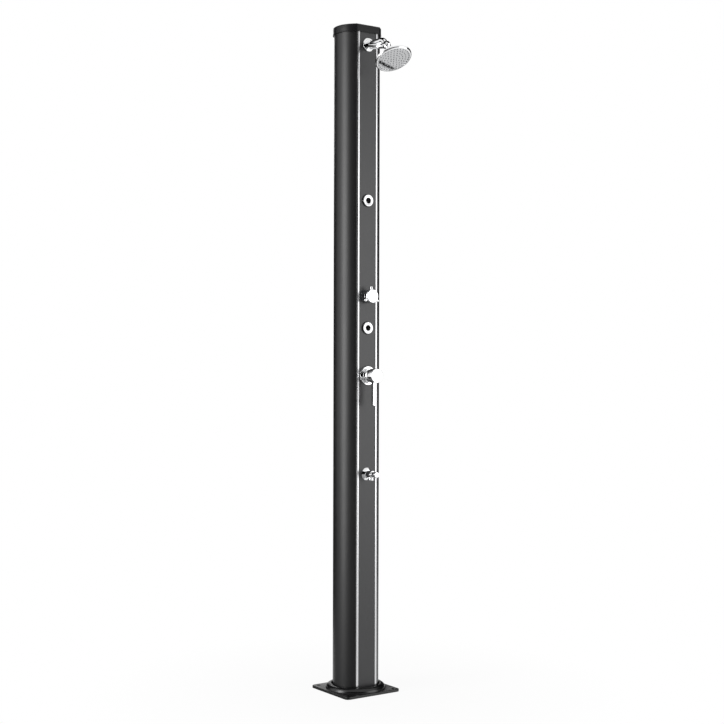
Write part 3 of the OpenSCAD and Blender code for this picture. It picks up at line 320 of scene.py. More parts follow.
@dataclass(frozen=True)
class SoftBox:
    """A large soft lamp that faces the post.

    Args:
        name: The lamp's name.
        place: Where it hangs, in metres.
        aim: The point it faces, in metres.
        size: Its width and height, in metres.
        power: Its power, in watts.
    """

    name: str
    place: tuple[float, float, float]
    aim: tuple[float, float, float]
    size: tuple[float, float]
    power: float

    def hang(self) -> None:
        """Hangs the lamp in the studio."""
        lamp = bpy.data.lights.new(self.name, "AREA")
        lamp.shape = "RECTANGLE"
        lamp.size, lamp.size_y = self.size
        lamp.energy = self.power
        holder = bpy.data.objects.new(self.name, lamp)
        bpy.context.scene.collection.objects.link(holder)
        holder.location = self.place
        holder.rotation_euler = (Vector(self.aim) - Vector(self.place)).to_track_quat("-Z", "Y").to_euler()


@dataclass
class Camera:
    """The photograph's view, fitted to the post's edges and fittings.

    Args:
        azimuth: Degrees from the front; negative stands to the post's left.
        distance: Level distance from the post's axis, in metres.
        height: Height above the ground, in metres.
        turn: Degrees the camera turns away from the axis, to its right.
        pitch: Degrees it looks up.
        roll: Degrees it leans.
        lens: Focal length, in millimetres.
        sensor: Width of the picture that the lens is given for, in millimetres.
        far: How far it sees, in metres.
    """

    azimuth: float = -34.806
    distance: float = 4.4732
    height: float = 1.0872
    turn: float = 0.242
    pitch: float = -0.141
    roll: float = 0.142
    lens: float = 67.66
    sensor: float = 36.0
    far: float = 200.0

    def stand(self) -> None:
        """Sets up the camera and makes it the scene's."""
        angle = math.radians(self.azimuth)
        out = Vector((math.sin(angle), -math.cos(angle), 0.0))
        place = out * self.distance + Vector((0.0, 0.0, self.height))
        ahead = -out
        up = Vector((0.0, 0.0, 1.0))
        right = ahead.cross(up)
        ahead, right = self._turned(ahead, right, self.turn)
        ahead, up = self._turned(ahead, up, self.pitch)
        right, up = self._turned(right, up, self.roll)
        data = bpy.data.cameras.new("photo_view")
        data.lens = self.lens
        data.sensor_width = self.sensor
        data.clip_end = self.far
        camera = bpy.data.objects.new("photo_view", data)
        bpy.context.scene.collection.objects.link(camera)
        camera.matrix_world = Matrix.Translation(place) @ Matrix((right, up, -ahead)).transposed().to_4x4()
        bpy.context.scene.camera = camera

    @staticmethod
    def _turned(first: Vector, second: Vector, degrees: float) -> tuple[Vector, Vector]:
        """Turns two square directions in their own plane, the first towards the second.

        Args:
            first: One direction.
            second: The direction it turns towards.
            degrees: How far.

        Returns:
            Both directions after the turn.
        """
        c, s = math.cos(math.radians(degrees)), math.sin(math.radians(degrees))
        return first * c + second * s, second * c - first * s


def studio_plane(name: str, size: tuple[float, float], place: Matrix) -> Piece:
    """Adds a flat surface to the studio, with its place in its mesh.

    Args:
        name: Its name.
        size: Its width and depth, in metres.
        place: Where its middle goes, and how it is turned.

    Returns:
        The surface.
    """
    Bench.clear()
    bpy.ops.mesh.primitive_plane_add(size=1.0)
    plane = bpy.context.object
    plane.name = plane.data.name = name
    Bench.place(plane, place @ Matrix.Diagonal((*size, 1.0, 1.0)))
    return plane


def show_in_mirrors(plane: Piece, tone: float) -> None:
    """Makes a surface of the studio matt grey, and hides it from all rays but mirrored ones.

    Args:
        plane: The surface.
        tone: Its grey, linear.
    """
    material, graph, shader = new_material(plane.name)
    graph.feed(shader, {"Base Color": (tone, tone, tone, 1.0), "Roughness": 1.0, "Specular IOR Level": 0.0})
    plane.data.materials.append(material)
    for rays in ("camera", "diffuse", "shadow", "transmission"):
        setattr(plane, "visible_" + rays, False)


@dataclass(frozen=True)
class Cloth:
    """A dark cloth that lies level, on the floor or overhead, and shows in mirrored surfaces alone.

    Args:
        name: The cloth's name.
        middle: Where its middle lies, in metres.
        size: Its width and depth, in metres.
        lift: How far it lies above the floor, in metres.
        tone: Its grey, linear.
        turn: How far it is turned from the X axis, in degrees.
    """

    name: str
    middle: tuple[float, float]
    size: tuple[float, float]
    lift: float = 0.0001
    tone: float = 0.004
    turn: float = 0.0

    def hang(self) -> None:
        """Lays the cloth, or hangs it overhead."""
        place = Matrix.Translation((*self.middle, self.lift)) @ turn(self.turn, "Z")
        show_in_mirrors(studio_plane(self.name, self.size, place), self.tone)


@dataclass(frozen=True)
class Card:
    """A tall black card beside the post, which shows in mirrored surfaces alone.

    Args:
        name: The card's name.
        azimuth: Where its middle stands, in degrees from the post's front, seen from the post.
        spread: Half of the angle that it covers, in degrees.
        distance: Its distance from the post, in metres.
        foot: Height of its lower edge, in metres.
        height: Its height, in metres.
        tone: Its grey, linear.
    """

    name: str
    azimuth: float
    spread: float
    distance: float = 5.6
    foot: float = 0.0
    height: float = 5.0
    tone: float = 0.004

    def hang(self) -> None:
        """Hangs the card."""
        width = 2.0 * self.distance * math.tan(math.radians(self.spread))
        out = Matrix.Translation((0.0, -self.distance, self.foot + self.height / 2))
        place = turn(self.azimuth, "Z") @ out @ turn(90.0, "X")
        show_in_mirrors(studio_plane(self.name, (width, self.height), place), self.tone)


@dataclass
class Studio:
    """The white floor and surroundings, the soft lamps, and the dark cards and cloths.

    Args:
        camera: The photograph's view.
        ambient: Strength of the surroundings as a light.
        floor_side: The floor's side, in metres.
        floor_drop: How far the floor lies below the flange, in metres.
        flange_half: Half of the side of the square that the flange keeps dark, in metres.
        fade_from: Distance from the axis where the floor starts to fade, in metres.
        fade_to: Distance from the axis where it is as bright as the surroundings, in metres.
        fade_share: How bright it already is where it starts to fade, as a share.
    """

    camera: Camera
    ambient: float = 0.36
    floor_side: float = 80.0
    floor_drop: float = 0.0002
    flange_half: float = 0.1
    fade_from: float = 0.2
    fade_to: float = 0.9
    fade_share: float = 0.93

    LAMPS = (
        SoftBox("side_box", (-3.75, 0.45, 1.35), (0.0, 0.0, 1.0), (1.5, 3.4), 122.0),
        SoftBox("front_box", (2.5, -3.6, 1.2), (0.0, 0.0, 1.1), (3.0, 3.0), 50.0),
        SoftBox("back_box", (1.6, 3.6, 3.2), (0.0, 0.0, 1.2), (2.0, 2.0), 30.0),
    )
    MIRRORED = (
        Card("card_front_left", -43.0, 53.0),
        Card("card_right", 100.0, 42.0),
        Card("card_high", 151.0, 11.0, foot=1.7, height=7.0),
        Card("card_rear", 186.0, 26.0, height=9.0),
        Cloth("cloth_left", (-1.9, -0.6), (3.6, 5.0), tone=0.5),
        Cloth("cloth_rear", (0.6, 3.7), (8.6, 5.4)),
        Cloth("cloth_above", (1.5, 3.2), (8.0, 6.0), lift=5.0),
        Cloth("cloth_line", (1.401, 0.494), (1.9, 0.05), turn=31.75),
    )

    def build(self) -> None:
        """Builds the surroundings."""
        bpy.context.scene.view_settings.view_transform = "Standard"
        self._world()
        self._floor()
        for item in (*self.LAMPS, *self.MIRRORED):
            item.hang()
        self.camera.stand()

    @staticmethod
    def _seen(graph: Graph) -> Socket:
        """Tells the rays that see the surroundings from those that only carry light.

        Args:
            graph: The graph that asks.

        Returns:
            1 for rays from the camera, and for mirrored and refracted ones.
        """
        rays = graph.add("LightPath").outputs
        found = graph.work_out("MAXIMUM", rays["Is Camera Ray"], rays["Is Glossy Ray"])
        return graph.work_out("MAXIMUM", found, rays["Is Transmission Ray"])

    def _beside(self, graph: Graph, place: Socket) -> Socket:
        """Tells the floor under the flange, where no light comes, from the rest.

        Args:
            graph: The floor's graph.
            place: The coordinates.

        Returns:
            0 under the flange and 1 beside it.
        """
        parts = graph.add("SeparateXYZ", {0: place}).outputs
        across, along = (graph.work_out("ABSOLUTE", parts[label]) for label in "XY")
        return graph.work_out("GREATER_THAN", graph.work_out("MAXIMUM", across, along), self.flange_half)

    def _world(self) -> None:
        """Makes the surroundings white to the eye and in a mirror, and softer as a light."""
        world = bpy.data.worlds.new("studio_white")
        bpy.context.scene.world = world
        world.use_nodes = True
        graph = Graph(world.node_tree)
        light = graph.add("MapRange", {"Value": self._seen(graph), "To Min": self.ambient})
        white = {"Color": (1.0, 1.0, 1.0, 1.0), "Strength": light.outputs["Result"]}
        graph.feed(world.node_tree.nodes["Background"], white)

    def _floor(self) -> None:
        """Lays the white floor, which keeps the post's shadow and fades into the surroundings."""
        below = Matrix.Translation((0.0, 0.0, -self.floor_drop))
        floor = studio_plane("studio_floor", (self.floor_side, self.floor_side), below)
        material, graph, shader = new_material("floor_white")
        white = (0.9, 0.9, 0.9, 1.0)
        graph.feed(shader, {"Base Color": white, "Roughness": 0.9, "Specular IOR Level": 0.1})
        place = graph.add("TexCoord").outputs["Object"]
        away = graph.add("VectorMath", {0: place}, operation="LENGTH").outputs["Value"]
        fade = {"From Min": self.fade_from, "From Max": self.fade_to, "To Min": self.fade_share}
        share = graph.add("MapRange", {"Value": away, **fade}).outputs["Result"]
        share = graph.work_out("MULTIPLY", share, self._seen(graph))
        share = graph.work_out("MULTIPLY", share, self._beside(graph, place))
        mix = graph.add("MixShader", {0: share, 1: shader.outputs[0], 2: graph.add("Emission").outputs[0]})
        graph.feed(material.node_tree.nodes["Material Output"], {"Surface": mix.outputs[0]})
        floor.data.materials.append(material)


# Modelling


# How far a tool reaches past what it cuts, in millimetres
CLEAR = 2.0


class Sides(IntEnum):
    """How many sides the circle of a turned piece has."""

    NOZZLE = 12
    GROOVE = 20
    HOLE = 32
    PEG = 40
    BORE = 48
    DRAIN = 64
    FITTING = 72
    MIXER = 96
    LARGE = 128
    POST = 144


class Carving(Enum):
    """What becomes of the tools that carve() takes."""

    CUT = "DIFFERENCE"
    FUSE = "UNION"


def turn(degrees: float, axis: str) -> Matrix:
    """Returns a turn about an axis."""
    return Matrix.Rotation(math.radians(degrees), 4, axis)


def shift(x: float = 0.0, y: float = 0.0, z: float = 0.0) -> Matrix:
    """Returns a move by so many millimetres."""
    return Matrix.Translation((x * MM, y * MM, z * MM))


def around(count: int, first: Matrix) -> list[Matrix]:
    """Returns the places that a count of copies takes round Z, from the first one's place."""
    return [turn(360.0 * i / count, "Z") @ first for i in range(count)]


def rise(radius: float, width: float) -> float:
    """Returns how far above a ball's centre its outline has a width."""
    return math.sqrt(radius**2 - width**2)


def arc(radius: float, centre: float, low: float, high: float, steps: int) -> list[Corner]:
    """Gives points on a ball's outline.

    Args:
        radius: The ball's radius.
        centre: Height of its centre.
        low: Height of the first point.
        high: Height of the last point.
        steps: How many stretches lie between them.

    Returns:
        Radius and height of each point.
    """
    first, last = (math.asin(max(-1.0, min(1.0, (z - centre) / radius))) for z in (low, high))
    angles = (first + (last - first) * i / steps for i in range(steps + 1))
    return [(radius * math.cos(a), centre + radius * math.sin(a)) for a in angles]


def rounded(corners: Sequence[Corner], steps: int = 5) -> list[tuple[float, float]]:
    """Rounds the corners of an outline that carry a third value.

    Args:
        corners: Radius, height and, where a corner is rounded, its rounding, in millimetres.
        steps: How many stretches make one rounding.

    Returns:
        The outline's points, in millimetres.
    """
    points: list[tuple[float, float]] = []
    for i, corner in enumerate(corners):
        here = Vector(corner[:2])
        if len(corner) < 3 or i in (0, len(corners) - 1):
            points.append((here.x, here.y))
            continue
        back = (Vector(corners[i - 1][:2]) - here).normalized()
        on = (Vector(corners[i + 1][:2]) - here).normalized()
        half = back.angle(on) / 2
        centre = here + (back + on).normalized() * corner[2] / math.sin(half)
        first = here + back * corner[2] / math.tan(half) - centre
        last = here + on * corner[2] / math.tan(half) - centre
        sweep = math.atan2(first.x * last.y - first.y * last.x, first.dot(last))
        for step in range(steps + 1):
            point = centre + Matrix.Rotation(sweep * step / steps, 2) @ first
            points.append((point.x, point.y))
    return points


class Bench:
    """Modelling moves that the sub-assemblies share, each made with Blender's own operators."""

    @staticmethod
    def clear() -> None:
        """Leaves edit mode and deselects everything."""
        if bpy.context.object and bpy.context.object.mode != "OBJECT":
            bpy.ops.object.mode_set(mode="OBJECT")
        bpy.ops.object.select_all(action="DESELECT")

    @staticmethod
    def pick(piece: Piece) -> None:
        """Selects one piece alone and makes it active.

        Args:
            piece: The piece.
        """
        Bench.clear()
        piece.select_set(True)
        bpy.context.view_layer.objects.active = piece

    @staticmethod
    def start(name: str) -> Piece:
        """Names the primitive that was just added, and opens it with all of it selected.

        Args:
            name: The piece's name.

        Returns:
            The piece, in edit mode.
        """
        piece = bpy.context.object
        piece.name = piece.data.name = name
        bpy.ops.object.mode_set(mode="EDIT")
        bpy.ops.mesh.select_all(action="SELECT")
        return piece

    @staticmethod
    def seal(piece: Piece, smooth: float = 32.0) -> Piece:
        """Merges doubles, turns the faces outwards and shades the piece.

        Args:
            piece: The piece.
            smooth: Edges flatter than this many degrees are shaded smooth.

        Returns:
            The piece.
        """
        Bench.pick(piece)
        bpy.ops.object.mode_set(mode="EDIT")
        bpy.ops.mesh.select_all(action="SELECT")
        bpy.ops.mesh.remove_doubles(threshold=2 * TINY)
        bpy.ops.mesh.normals_make_consistent(inside=False)
        bpy.ops.object.mode_set(mode="OBJECT")
        bpy.ops.object.shade_smooth_by_angle(angle=math.radians(smooth))
        return piece

    @staticmethod
    def push(length: float) -> None:
        """Extrudes what is selected along Z, by so many metres."""
        bpy.ops.mesh.extrude_region_move(TRANSFORM_OT_translate={"value": (0.0, 0.0, length)})

    @staticmethod
    def turned(name: str, corners: Sequence[Corner], sides: int = Sides.FITTING) -> Piece:
        """Turns an outline round Z: a circle is extruded, sized and moved from point to point.

        Args:
            name: The piece's name.
            corners: The outline, as rounded() takes it. A radius of 0 closes it on the axis.
            sides: How many sides the circle has.

        Returns:
            The closed piece, at the origin.
        """
        points = [(max(r * MM, TINY), z * MM) for r, z in rounded(corners)]
        Bench.clear()
        bpy.ops.mesh.primitive_circle_add(vertices=sides, radius=points[0][0])
        piece = Bench.start(name)
        bpy.ops.transform.translate(value=(0.0, 0.0, points[0][1]))
        for (r0, z0), (r1, z1) in zip(points, points[1:]):
            Bench.push(z1 - z0)
            bpy.ops.transform.resize(value=(r1 / r0, r1 / r0, 1.0), center_override=(0.0, 0.0, z1))
        return Bench.seal(piece)

    @staticmethod
    def rod(name: str, radius: float, low: float, high: float, sides: int, edge: float = 0.0) -> Piece:
        """Turns a round rod, to cut a hole with or to set into a piece.

        Args:
            name: The piece's name.
            radius: Its radius, in millimetres.
            low: Height of its lower end, in millimetres.
            high: Height of its upper end, in millimetres.
            sides: How many sides the circle has.
            edge: The rounding of its upper edge, in millimetres.

        Returns:
            The rod.
        """
        rim = (radius, high, edge) if edge else (radius, high)
        return Bench.turned(name, [(0.0, low), (radius, low), rim, (0.0, high)], sides)

    @staticmethod
    def block(name: str, size: Sequence[float], place: Sequence[float], edge: float = 0.0) -> Piece:
        """Makes a block with rounded edges.

        Args:
            name: The piece's name.
            size: Its three sizes, in millimetres.
            place: Its centre, in millimetres.
            edge: The rounding of its edges, in millimetres.

        Returns:
            The block.
        """
        Bench.clear()
        bpy.ops.mesh.primitive_cube_add(size=1.0)
        piece = Bench.start(name)
        bpy.ops.transform.resize(value=[s * MM for s in size], center_override=(0.0, 0.0, 0.0))
        bpy.ops.transform.translate(value=[p * MM for p in place])
        if edge:
            bpy.ops.mesh.bevel(offset=edge * MM, segments=4, affect="EDGES")
        return Bench.seal(piece)

    @staticmethod
    def prism(name: str, sides: int, radius: float, low: float, high: float, edge: float) -> Piece:
        """Makes a many-sided block with its edges eased, such as a hexagon nut.

        Args:
            name: The piece's name.
            sides: How many sides it has; the first corner lies on X.
            radius: Distance of a corner from the axis, in millimetres.
            low: Height of its lower end, in millimetres.
            high: Height of its upper end, in millimetres.
            edge: The rounding of its edges, in millimetres.

        Returns:
            The block.
        """
        Bench.clear()
        bpy.ops.mesh.primitive_cylinder_add(vertices=sides, radius=radius * MM, depth=(high - low) * MM)
        piece = Bench.start(name)
        bpy.ops.transform.translate(value=(0.0, 0.0, (low + high) / 2 * MM))
        bpy.ops.transform.rotate(value=math.radians(90.0), orient_axis="Z", center_override=(0.0, 0.0, 0.0))
        bpy.ops.mesh.bevel(offset=edge * MM, segments=2, affect="EDGES")
        return Bench.seal(piece)

    @staticmethod
    def round_edges(
        piece: Piece, radius: float, steps: int, chosen: Callable[[Vector, Vector], bool]
    ) -> None:
        """Rounds the edges that a test on their ends chooses.

        Args:
            piece: The piece, in edit mode.
            radius: The rounding, in millimetres.
            steps: How many stretches make one rounding.
            chosen: Says of an edge's two ends whether it is rounded.
        """
        bpy.ops.mesh.select_mode(type="EDGE")
        bpy.ops.mesh.select_all(action="DESELECT")
        bpy.ops.object.mode_set(mode="OBJECT")
        for edge in piece.data.edges:
            edge.select = chosen(*(piece.data.vertices[i].co for i in edge.vertices))
        bpy.ops.object.mode_set(mode="EDIT")
        bpy.ops.mesh.bevel(offset=radius * MM, segments=steps, affect="EDGES")
        bpy.ops.mesh.select_mode(type="VERT")

    @staticmethod
    def d_block(
        name: str, back: float, flat: float, low: float, high: float, corner: float = 0.0, edge: float = 0.0
    ) -> Piece:
        """Makes an upright block with the post's outline: a round back and a flat front.

        Args:
            name: The piece's name.
            back: Radius of its round back, in millimetres.
            flat: Distance of its flat front from the axis, in millimetres.
            low: Height of its underside, in millimetres.
            high: Height of its top, in millimetres.
            corner: Rounding of its two upright edges, in millimetres.
            edge: Rounding of its upper edge, in millimetres.

        Returns:
            The block.
        """
        Bench.clear()
        bpy.ops.mesh.primitive_cylinder_add(vertices=Sides.POST, radius=back * MM, depth=(high - low) * MM)
        block = Bench.start(name)
        bpy.ops.transform.translate(value=(0.0, 0.0, (low + high) / 2 * MM))
        front, top = -flat * MM, high * MM
        bpy.ops.mesh.bisect(
            plane_co=(0.0, front, 0.0), plane_no=(0.0, 1.0, 0.0), use_fill=True, clear_inner=True
        )
        if corner:
            Bench.round_edges(
                block, corner, 8, lambda a, b: abs(a.z - b.z) > TINY and max(a.y, b.y) < front + TINY
            )
        if edge:
            Bench.round_edges(block, edge, 5, lambda a, b: min(a.z, b.z) > top - TINY)
        return Bench.seal(block)

    @staticmethod
    def place(piece: Piece, matrix: Matrix) -> Piece:
        """Moves a piece and keeps its place in its mesh, with its object at the origin.

        Args:
            piece: The piece.
            matrix: Where it goes.

        Returns:
            The piece.
        """
        Bench.pick(piece)
        piece.matrix_world = matrix @ piece.matrix_world
        bpy.ops.object.transform_apply(location=True, rotation=True, scale=True)
        return piece

    @staticmethod
    def copies(piece: Piece, matrices: Sequence[Matrix]) -> list[Piece]:
        """Copies a piece to several places, each copy with its own mesh, and removes the first.

        Args:
            piece: The piece.
            matrices: Where the copies go.

        Returns:
            The copies.
        """
        made = []
        for matrix in matrices:
            Bench.pick(piece)
            bpy.ops.object.duplicate(linked=False)
            made.append(Bench.place(bpy.context.object, matrix))
        bpy.data.objects.remove(piece)
        return made

    @staticmethod
    def joined(name: str, pieces: Sequence[Piece]) -> Piece:
        """Joins pieces into one object.

        Args:
            name: Its name.
            pieces: The pieces.

        Returns:
            The joined object.
        """
        Bench.pick(pieces[0])
        for piece in pieces:
            piece.select_set(True)
        bpy.ops.object.join()
        whole = bpy.context.object
        whole.name = whole.data.name = name
        return whole

    @staticmethod
    def carve(piece: Piece, tools: Sequence[Piece], carving: Carving = Carving.CUT) -> Piece:
        """Cuts tools out of a piece, or fuses them with it.

        Args:
            piece: The piece.
            tools: The closed shapes that are used up.
            carving: Whether they are cut out or fused.

        Returns:
            The piece.
        """
        for tool in tools:
            Bench.pick(piece)
            change = piece.modifiers.new("carve", "BOOLEAN")
            change.operation = carving.value
            change.solver = "EXACT"
            change.object = tool
            bpy.ops.object.modifier_apply(modifier=change.name)
            bpy.data.objects.remove(tool)
        return Bench.seal(piece)


# The frame and its dressing


class Dresser:
    """Holds the frame and its finishes, and hands them to nodes and pieces."""

    def __init__(self, frame: dict) -> None:
        """Builds every finish of the record's slots.
        """
        self.frame = frame
        self.materials = {finish.name: finish.make() for finish in FINISHES}
        self.slots = {part["node"]: part["material_slot"] for part in frame["record"]["subparts"]}
        self.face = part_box("front_panel")[0].y
        self.joints = {joint["name"]: joint for joint in frame["joints"]}

    def dress_nodes(self) -> None:
        """Gives every CAD node the finish of its slot."""
        for name, node in self.frame["nodes"].items():
            node.data.materials.clear()
            node.data.materials.append(self.materials[self.slots[name]])
        log.info("dressed %d nodes", len(self.frame["nodes"]))

    def fit(self, piece: Piece, body: Body, node: str, slot: str = "") -> None:
        """Finishes a piece, lets it ride on its body and stand for its node.

        Args:
            piece: The piece, in place.
            body: The body that carries it.
            node: The CAD node that it stands for.
            slot: Another finish than that node's.
        """
        name = slot or self.slots[node]
        piece.data.materials.clear()
        piece.data.materials.append(self.materials[name])
        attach(piece, body.value)
        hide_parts(node)
        log.info("%s: %d faces", piece.name, len(piece.data.polygons))

    def on_panel(self, node: str) -> Matrix:
        """Finds the place of a fitting on the panel's face.

        Args:
            node: The CAD node whose middle height it takes.

        Returns:
            The place, with Z away from the post and Y up.
        """
        low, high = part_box(node)
        return Matrix.Translation((0.0, self.face, (low.z + high.z) / 2)) @ turn(90.0, "X")

    def at_joint(self, joint: str, tilt: float) -> Matrix:
        """Finds the place of a joint's centre.

        Args:
            joint: The joint's name.
            tilt: How far Z is turned from up towards the front, in degrees.

        Returns:
            The place.
        """
        return Matrix.Translation(self.joints[joint]["pos_m"]) @ turn(tilt, "X")

    @staticmethod
    def reach(node: str) -> tuple[float, float]:
        """Returns a panel fitting's radius and how far it stands out, in millimetres."""
        low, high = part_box(node)
        return (high.x - low.x) / 2 / MM, (high.y - low.y) / MM

    def front(self, node: str) -> float:
        """Returns how far a node's front lies before the panel's face, in millimetres."""
        return (self.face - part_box(node)[0].y) / MM


# Sub-assemblies


# Clearance round what fits in a hole, and thickness of a rosette's front, in millimetres
FIT = 0.15
SKIN = 2.0


@dataclass
class SubAssembly:
    """Pieces that are built together. All sizes of a sub-assembly are in millimetres.

    Args:
        dresser: Holds the frame and the finishes.
    """

    dresser: Dresser

    def fit_at(self, place: Matrix, fittings: Sequence[tuple[Piece, Body, str]]) -> None:
        """Sets pieces that share an axis in their place and finishes them.

        Args:
            place: Where they go.
            fittings: Each piece, the body that carries it and the node that it stands for.
        """
        for piece, body, node in fittings:
            self.dresser.fit(Bench.place(piece, place), body, node)

    @staticmethod
    def rosette(name: str, cup: float, height: float, front: Sequence[Corner]) -> Piece:
        """Turns a hollow rosette that stands on the panel.

        Args:
            name: The piece's name.
            cup: Radius of its hollow.
            height: Its height.
            front: Its front, from the rim to the edge of the hole in its middle.

        Returns:
            The rosette.
        """
        rim, hole, back = front[0][0], front[-1][0], height - SKIN
        return Bench.turned(name, [(cup, 0.0), (rim, 0.0), *front, (hole, back), (cup, back), (cup, 0.0)])


@dataclass
class BaseFlange(SubAssembly):
    """The square flange with its raised round collar."""

    thickness: float = 8.0
    corner: float = 14.0
    edge: float = 1.8
    collar_height: float = 23.0
    collar_radius: float = 98.0
    rim_radius: float = 82.4
    foot_round: float = 2.0
    foot_width: float = 4.0
    foot_angle: float = 10.0
    recess_radius: float = 79.6
    recess_floor: float = 6.0
    recess_ease: float = 0.8
    drain_radius: float = 28.0
    anchor_radius: float = 5.75
    anchor_edge: float = 0.25
    screw_at: float = 38.0
    screw_radius: float = 2.65
    screw_head: float = 5.15
    head_depth: float = 0.4
    screw_sink: float = 3.2

    def build(self) -> None:
        """Builds the flange in place of its plain solid."""
        plate = self._plate()
        Bench.carve(plate, [self._collar()], Carving.FUSE)
        Bench.carve(plate, [self._recess(), *self._holes()])
        self.dresser.fit(Bench.seal(plate, 28.0), Body.POST, "base_flange")

    def _plate(self) -> Piece:
        """Makes the plate: a block whose upright edges, then whose upper edges are rounded.

        Returns:
            The plate.
        """
        low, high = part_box("base_flange")
        side, top = high.x - low.x, self.thickness * MM
        Bench.clear()
        bpy.ops.mesh.primitive_cube_add(size=1.0)
        plate = Bench.start("flange")
        bpy.ops.transform.resize(value=(side, side, top), center_override=(0.0, 0.0, 0.0))
        bpy.ops.transform.translate(value=(0.0, 0.0, top / 2))
        Bench.round_edges(plate, self.corner, 10, lambda a, b: abs(a.z - b.z) > TINY)
        Bench.round_edges(plate, self.edge, 4, lambda a, b: min(a.z, b.z) > top - TINY)
        return plate

    def _collar(self) -> Piece:
        """Turns the collar: its shoulder is a quarter circle, with a small hollow at its foot.

        Returns:
            The collar.
        """
        radius = self.collar_radius - self.rim_radius
        centre = self.collar_height - radius
        above = self.thickness - centre
        start = math.asin(above / radius) + math.radians(self.foot_angle)
        shoulder = arc(radius, centre, centre + radius * math.sin(start), self.collar_height, 10)
        foot = self.rim_radius + rise(radius, above)
        outline = [
            (0.0, self.foot_round), (foot + self.foot_width, self.foot_round),
            (foot + self.foot_width, self.thickness), (foot, self.thickness, self.foot_round),
            *((self.rim_radius + r, z) for r, z in shoulder), (0.0, self.collar_height),
        ]
        return Bench.turned("collar", outline, Sides.LARGE)

    def _recess(self) -> Piece:
        """Turns the shape of the recess that the post stands in.

        Returns:
            The tool that cuts it.
        """
        radius, ease, top = self.recess_radius, self.recess_ease, self.collar_height
        outline = [
            (0.0, self.recess_floor), (radius, self.recess_floor), (radius, top - ease),
            (radius + ease, top + 0.1), (radius + ease, top + CLEAR), (0.0, top + CLEAR),
        ]
        return Bench.turned("recess", outline, Sides.LARGE)

    def _holes(self) -> list[Piece]:
        """Makes the drain, the anchor holes with their eased edges, and the screw holes.

        Returns:
            The tools that cut them.
        """
        mount = next(m for m in self.dresser.frame["record"]["mounts"] if m["name"] == "anchor_holes")
        low, top, high = -CLEAR, self.thickness, self.thickness + CLEAR
        hole, wide = self.anchor_radius, self.anchor_radius + self.anchor_edge
        anchor = [
            (0.0, low), (hole, low), (hole, top - self.anchor_edge), (wide, top), (wide, high), (0.0, high),
        ]
        hole, wide = self.screw_radius, self.screw_head
        screw = [
            (0.0, low), (wide, low), (wide, self.head_depth), (hole, self.screw_sink),
            (hole, high), (0.0, high),
        ]
        tools = [Bench.rod("drain", self.drain_radius, low, high, Sides.DRAIN)]
        for outline, at in ((anchor, mount["dims"]["spacing_x_mm"] / 2), (screw, self.screw_at)):
            places = [shift(x * at, y * at) for x in (-1, 1) for y in (-1, 1)]
            tools += Bench.copies(Bench.turned("hole", outline, Sides.HOLE), places)
        return tools


@dataclass
class RearShell(SubAssembly):
    """The round-backed shell with softened front corners, open at the front for the panel."""

    radius: float = 75.0
    flat: float = 61.5
    wall: float = 2.5
    corner: float = 3.0
    rail: float = 9.0
    slot: float = 37.4
    inlet: float = 10.55
    inlet_height: float = 56.0

    def build(self) -> None:
        """Builds the shell in place of its node."""
        low, high = (corner.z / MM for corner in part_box("rear_shell"))
        shell = Bench.d_block("rear_shell_skin", self.radius, self.flat, low, high, self.corner)
        inside = (self.radius - self.wall, self.flat - self.rail)
        hollow = Bench.d_block("hollow", *inside, low - CLEAR, high + CLEAR)
        size = (2 * self.slot, 2 * (self.rail + CLEAR), high - low + 4 * CLEAR)
        front = Bench.block("front", size, (0.0, -self.flat, (low + high) / 2))
        hole = Bench.rod("inlet", self.inlet, self.radius / 2, self.radius + CLEAR, Sides.BORE)
        back = shift(z=self.inlet_height) @ turn(-90.0, "X")
        Bench.carve(shell, [hollow, front, Bench.place(hole, back)])
        self.dresser.fit(Bench.seal(shell, 30.0), Body.POST, "rear_shell")


@dataclass
class TopCap(SubAssembly):
    """The cap: a D-shaped lid with rounded edges, a bead round its foot and a hollow over the post."""

    back: float = 78.7
    front: float = 65.5
    corner: float = 7.0
    edge: float = 3.0
    bead: float = 0.8
    bead_height: float = 3.0
    bead_edge: float = 0.5
    post_radius: float = 75.3
    post_flat: float = 63.2
    roof: float = 4.0
    skirt_radius: float = 72.35
    skirt_flat: float = 52.2
    skirt_wall: float = 2.5
    skirt_height: float = 14.0
    skirt_in: float = 1.0

    def build(self) -> None:
        """Builds the cap in place of its plain solid."""
        low, high = (corner.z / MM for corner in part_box("top_cap"))
        roof = high - self.roof
        foot = roof - self.skirt_height
        lid = Bench.d_block("top_lid", self.back, self.front, low, high, self.corner, self.edge)
        out = (self.back + self.bead, self.front + self.bead)
        bead = Bench.d_block("bead", *out, low, low + self.bead_height, self.corner, self.bead_edge)
        hollow = Bench.d_block("hollow", self.post_radius, self.post_flat, low - CLEAR, roof)
        skirt = Bench.d_block("skirt", self.skirt_radius, self.skirt_flat, foot, roof + self.skirt_in)
        inside = (self.skirt_radius - self.skirt_wall, self.skirt_flat - self.skirt_wall)
        Bench.carve(skirt, [Bench.d_block("skirt_hollow", *inside, foot - CLEAR, roof)])
        Bench.carve(lid, [bead], Carving.FUSE)
        Bench.carve(lid, [hollow])
        Bench.carve(lid, [skirt], Carving.FUSE)
        self.dresser.fit(Bench.seal(lid, 30.0), Body.POST, "top_cap")


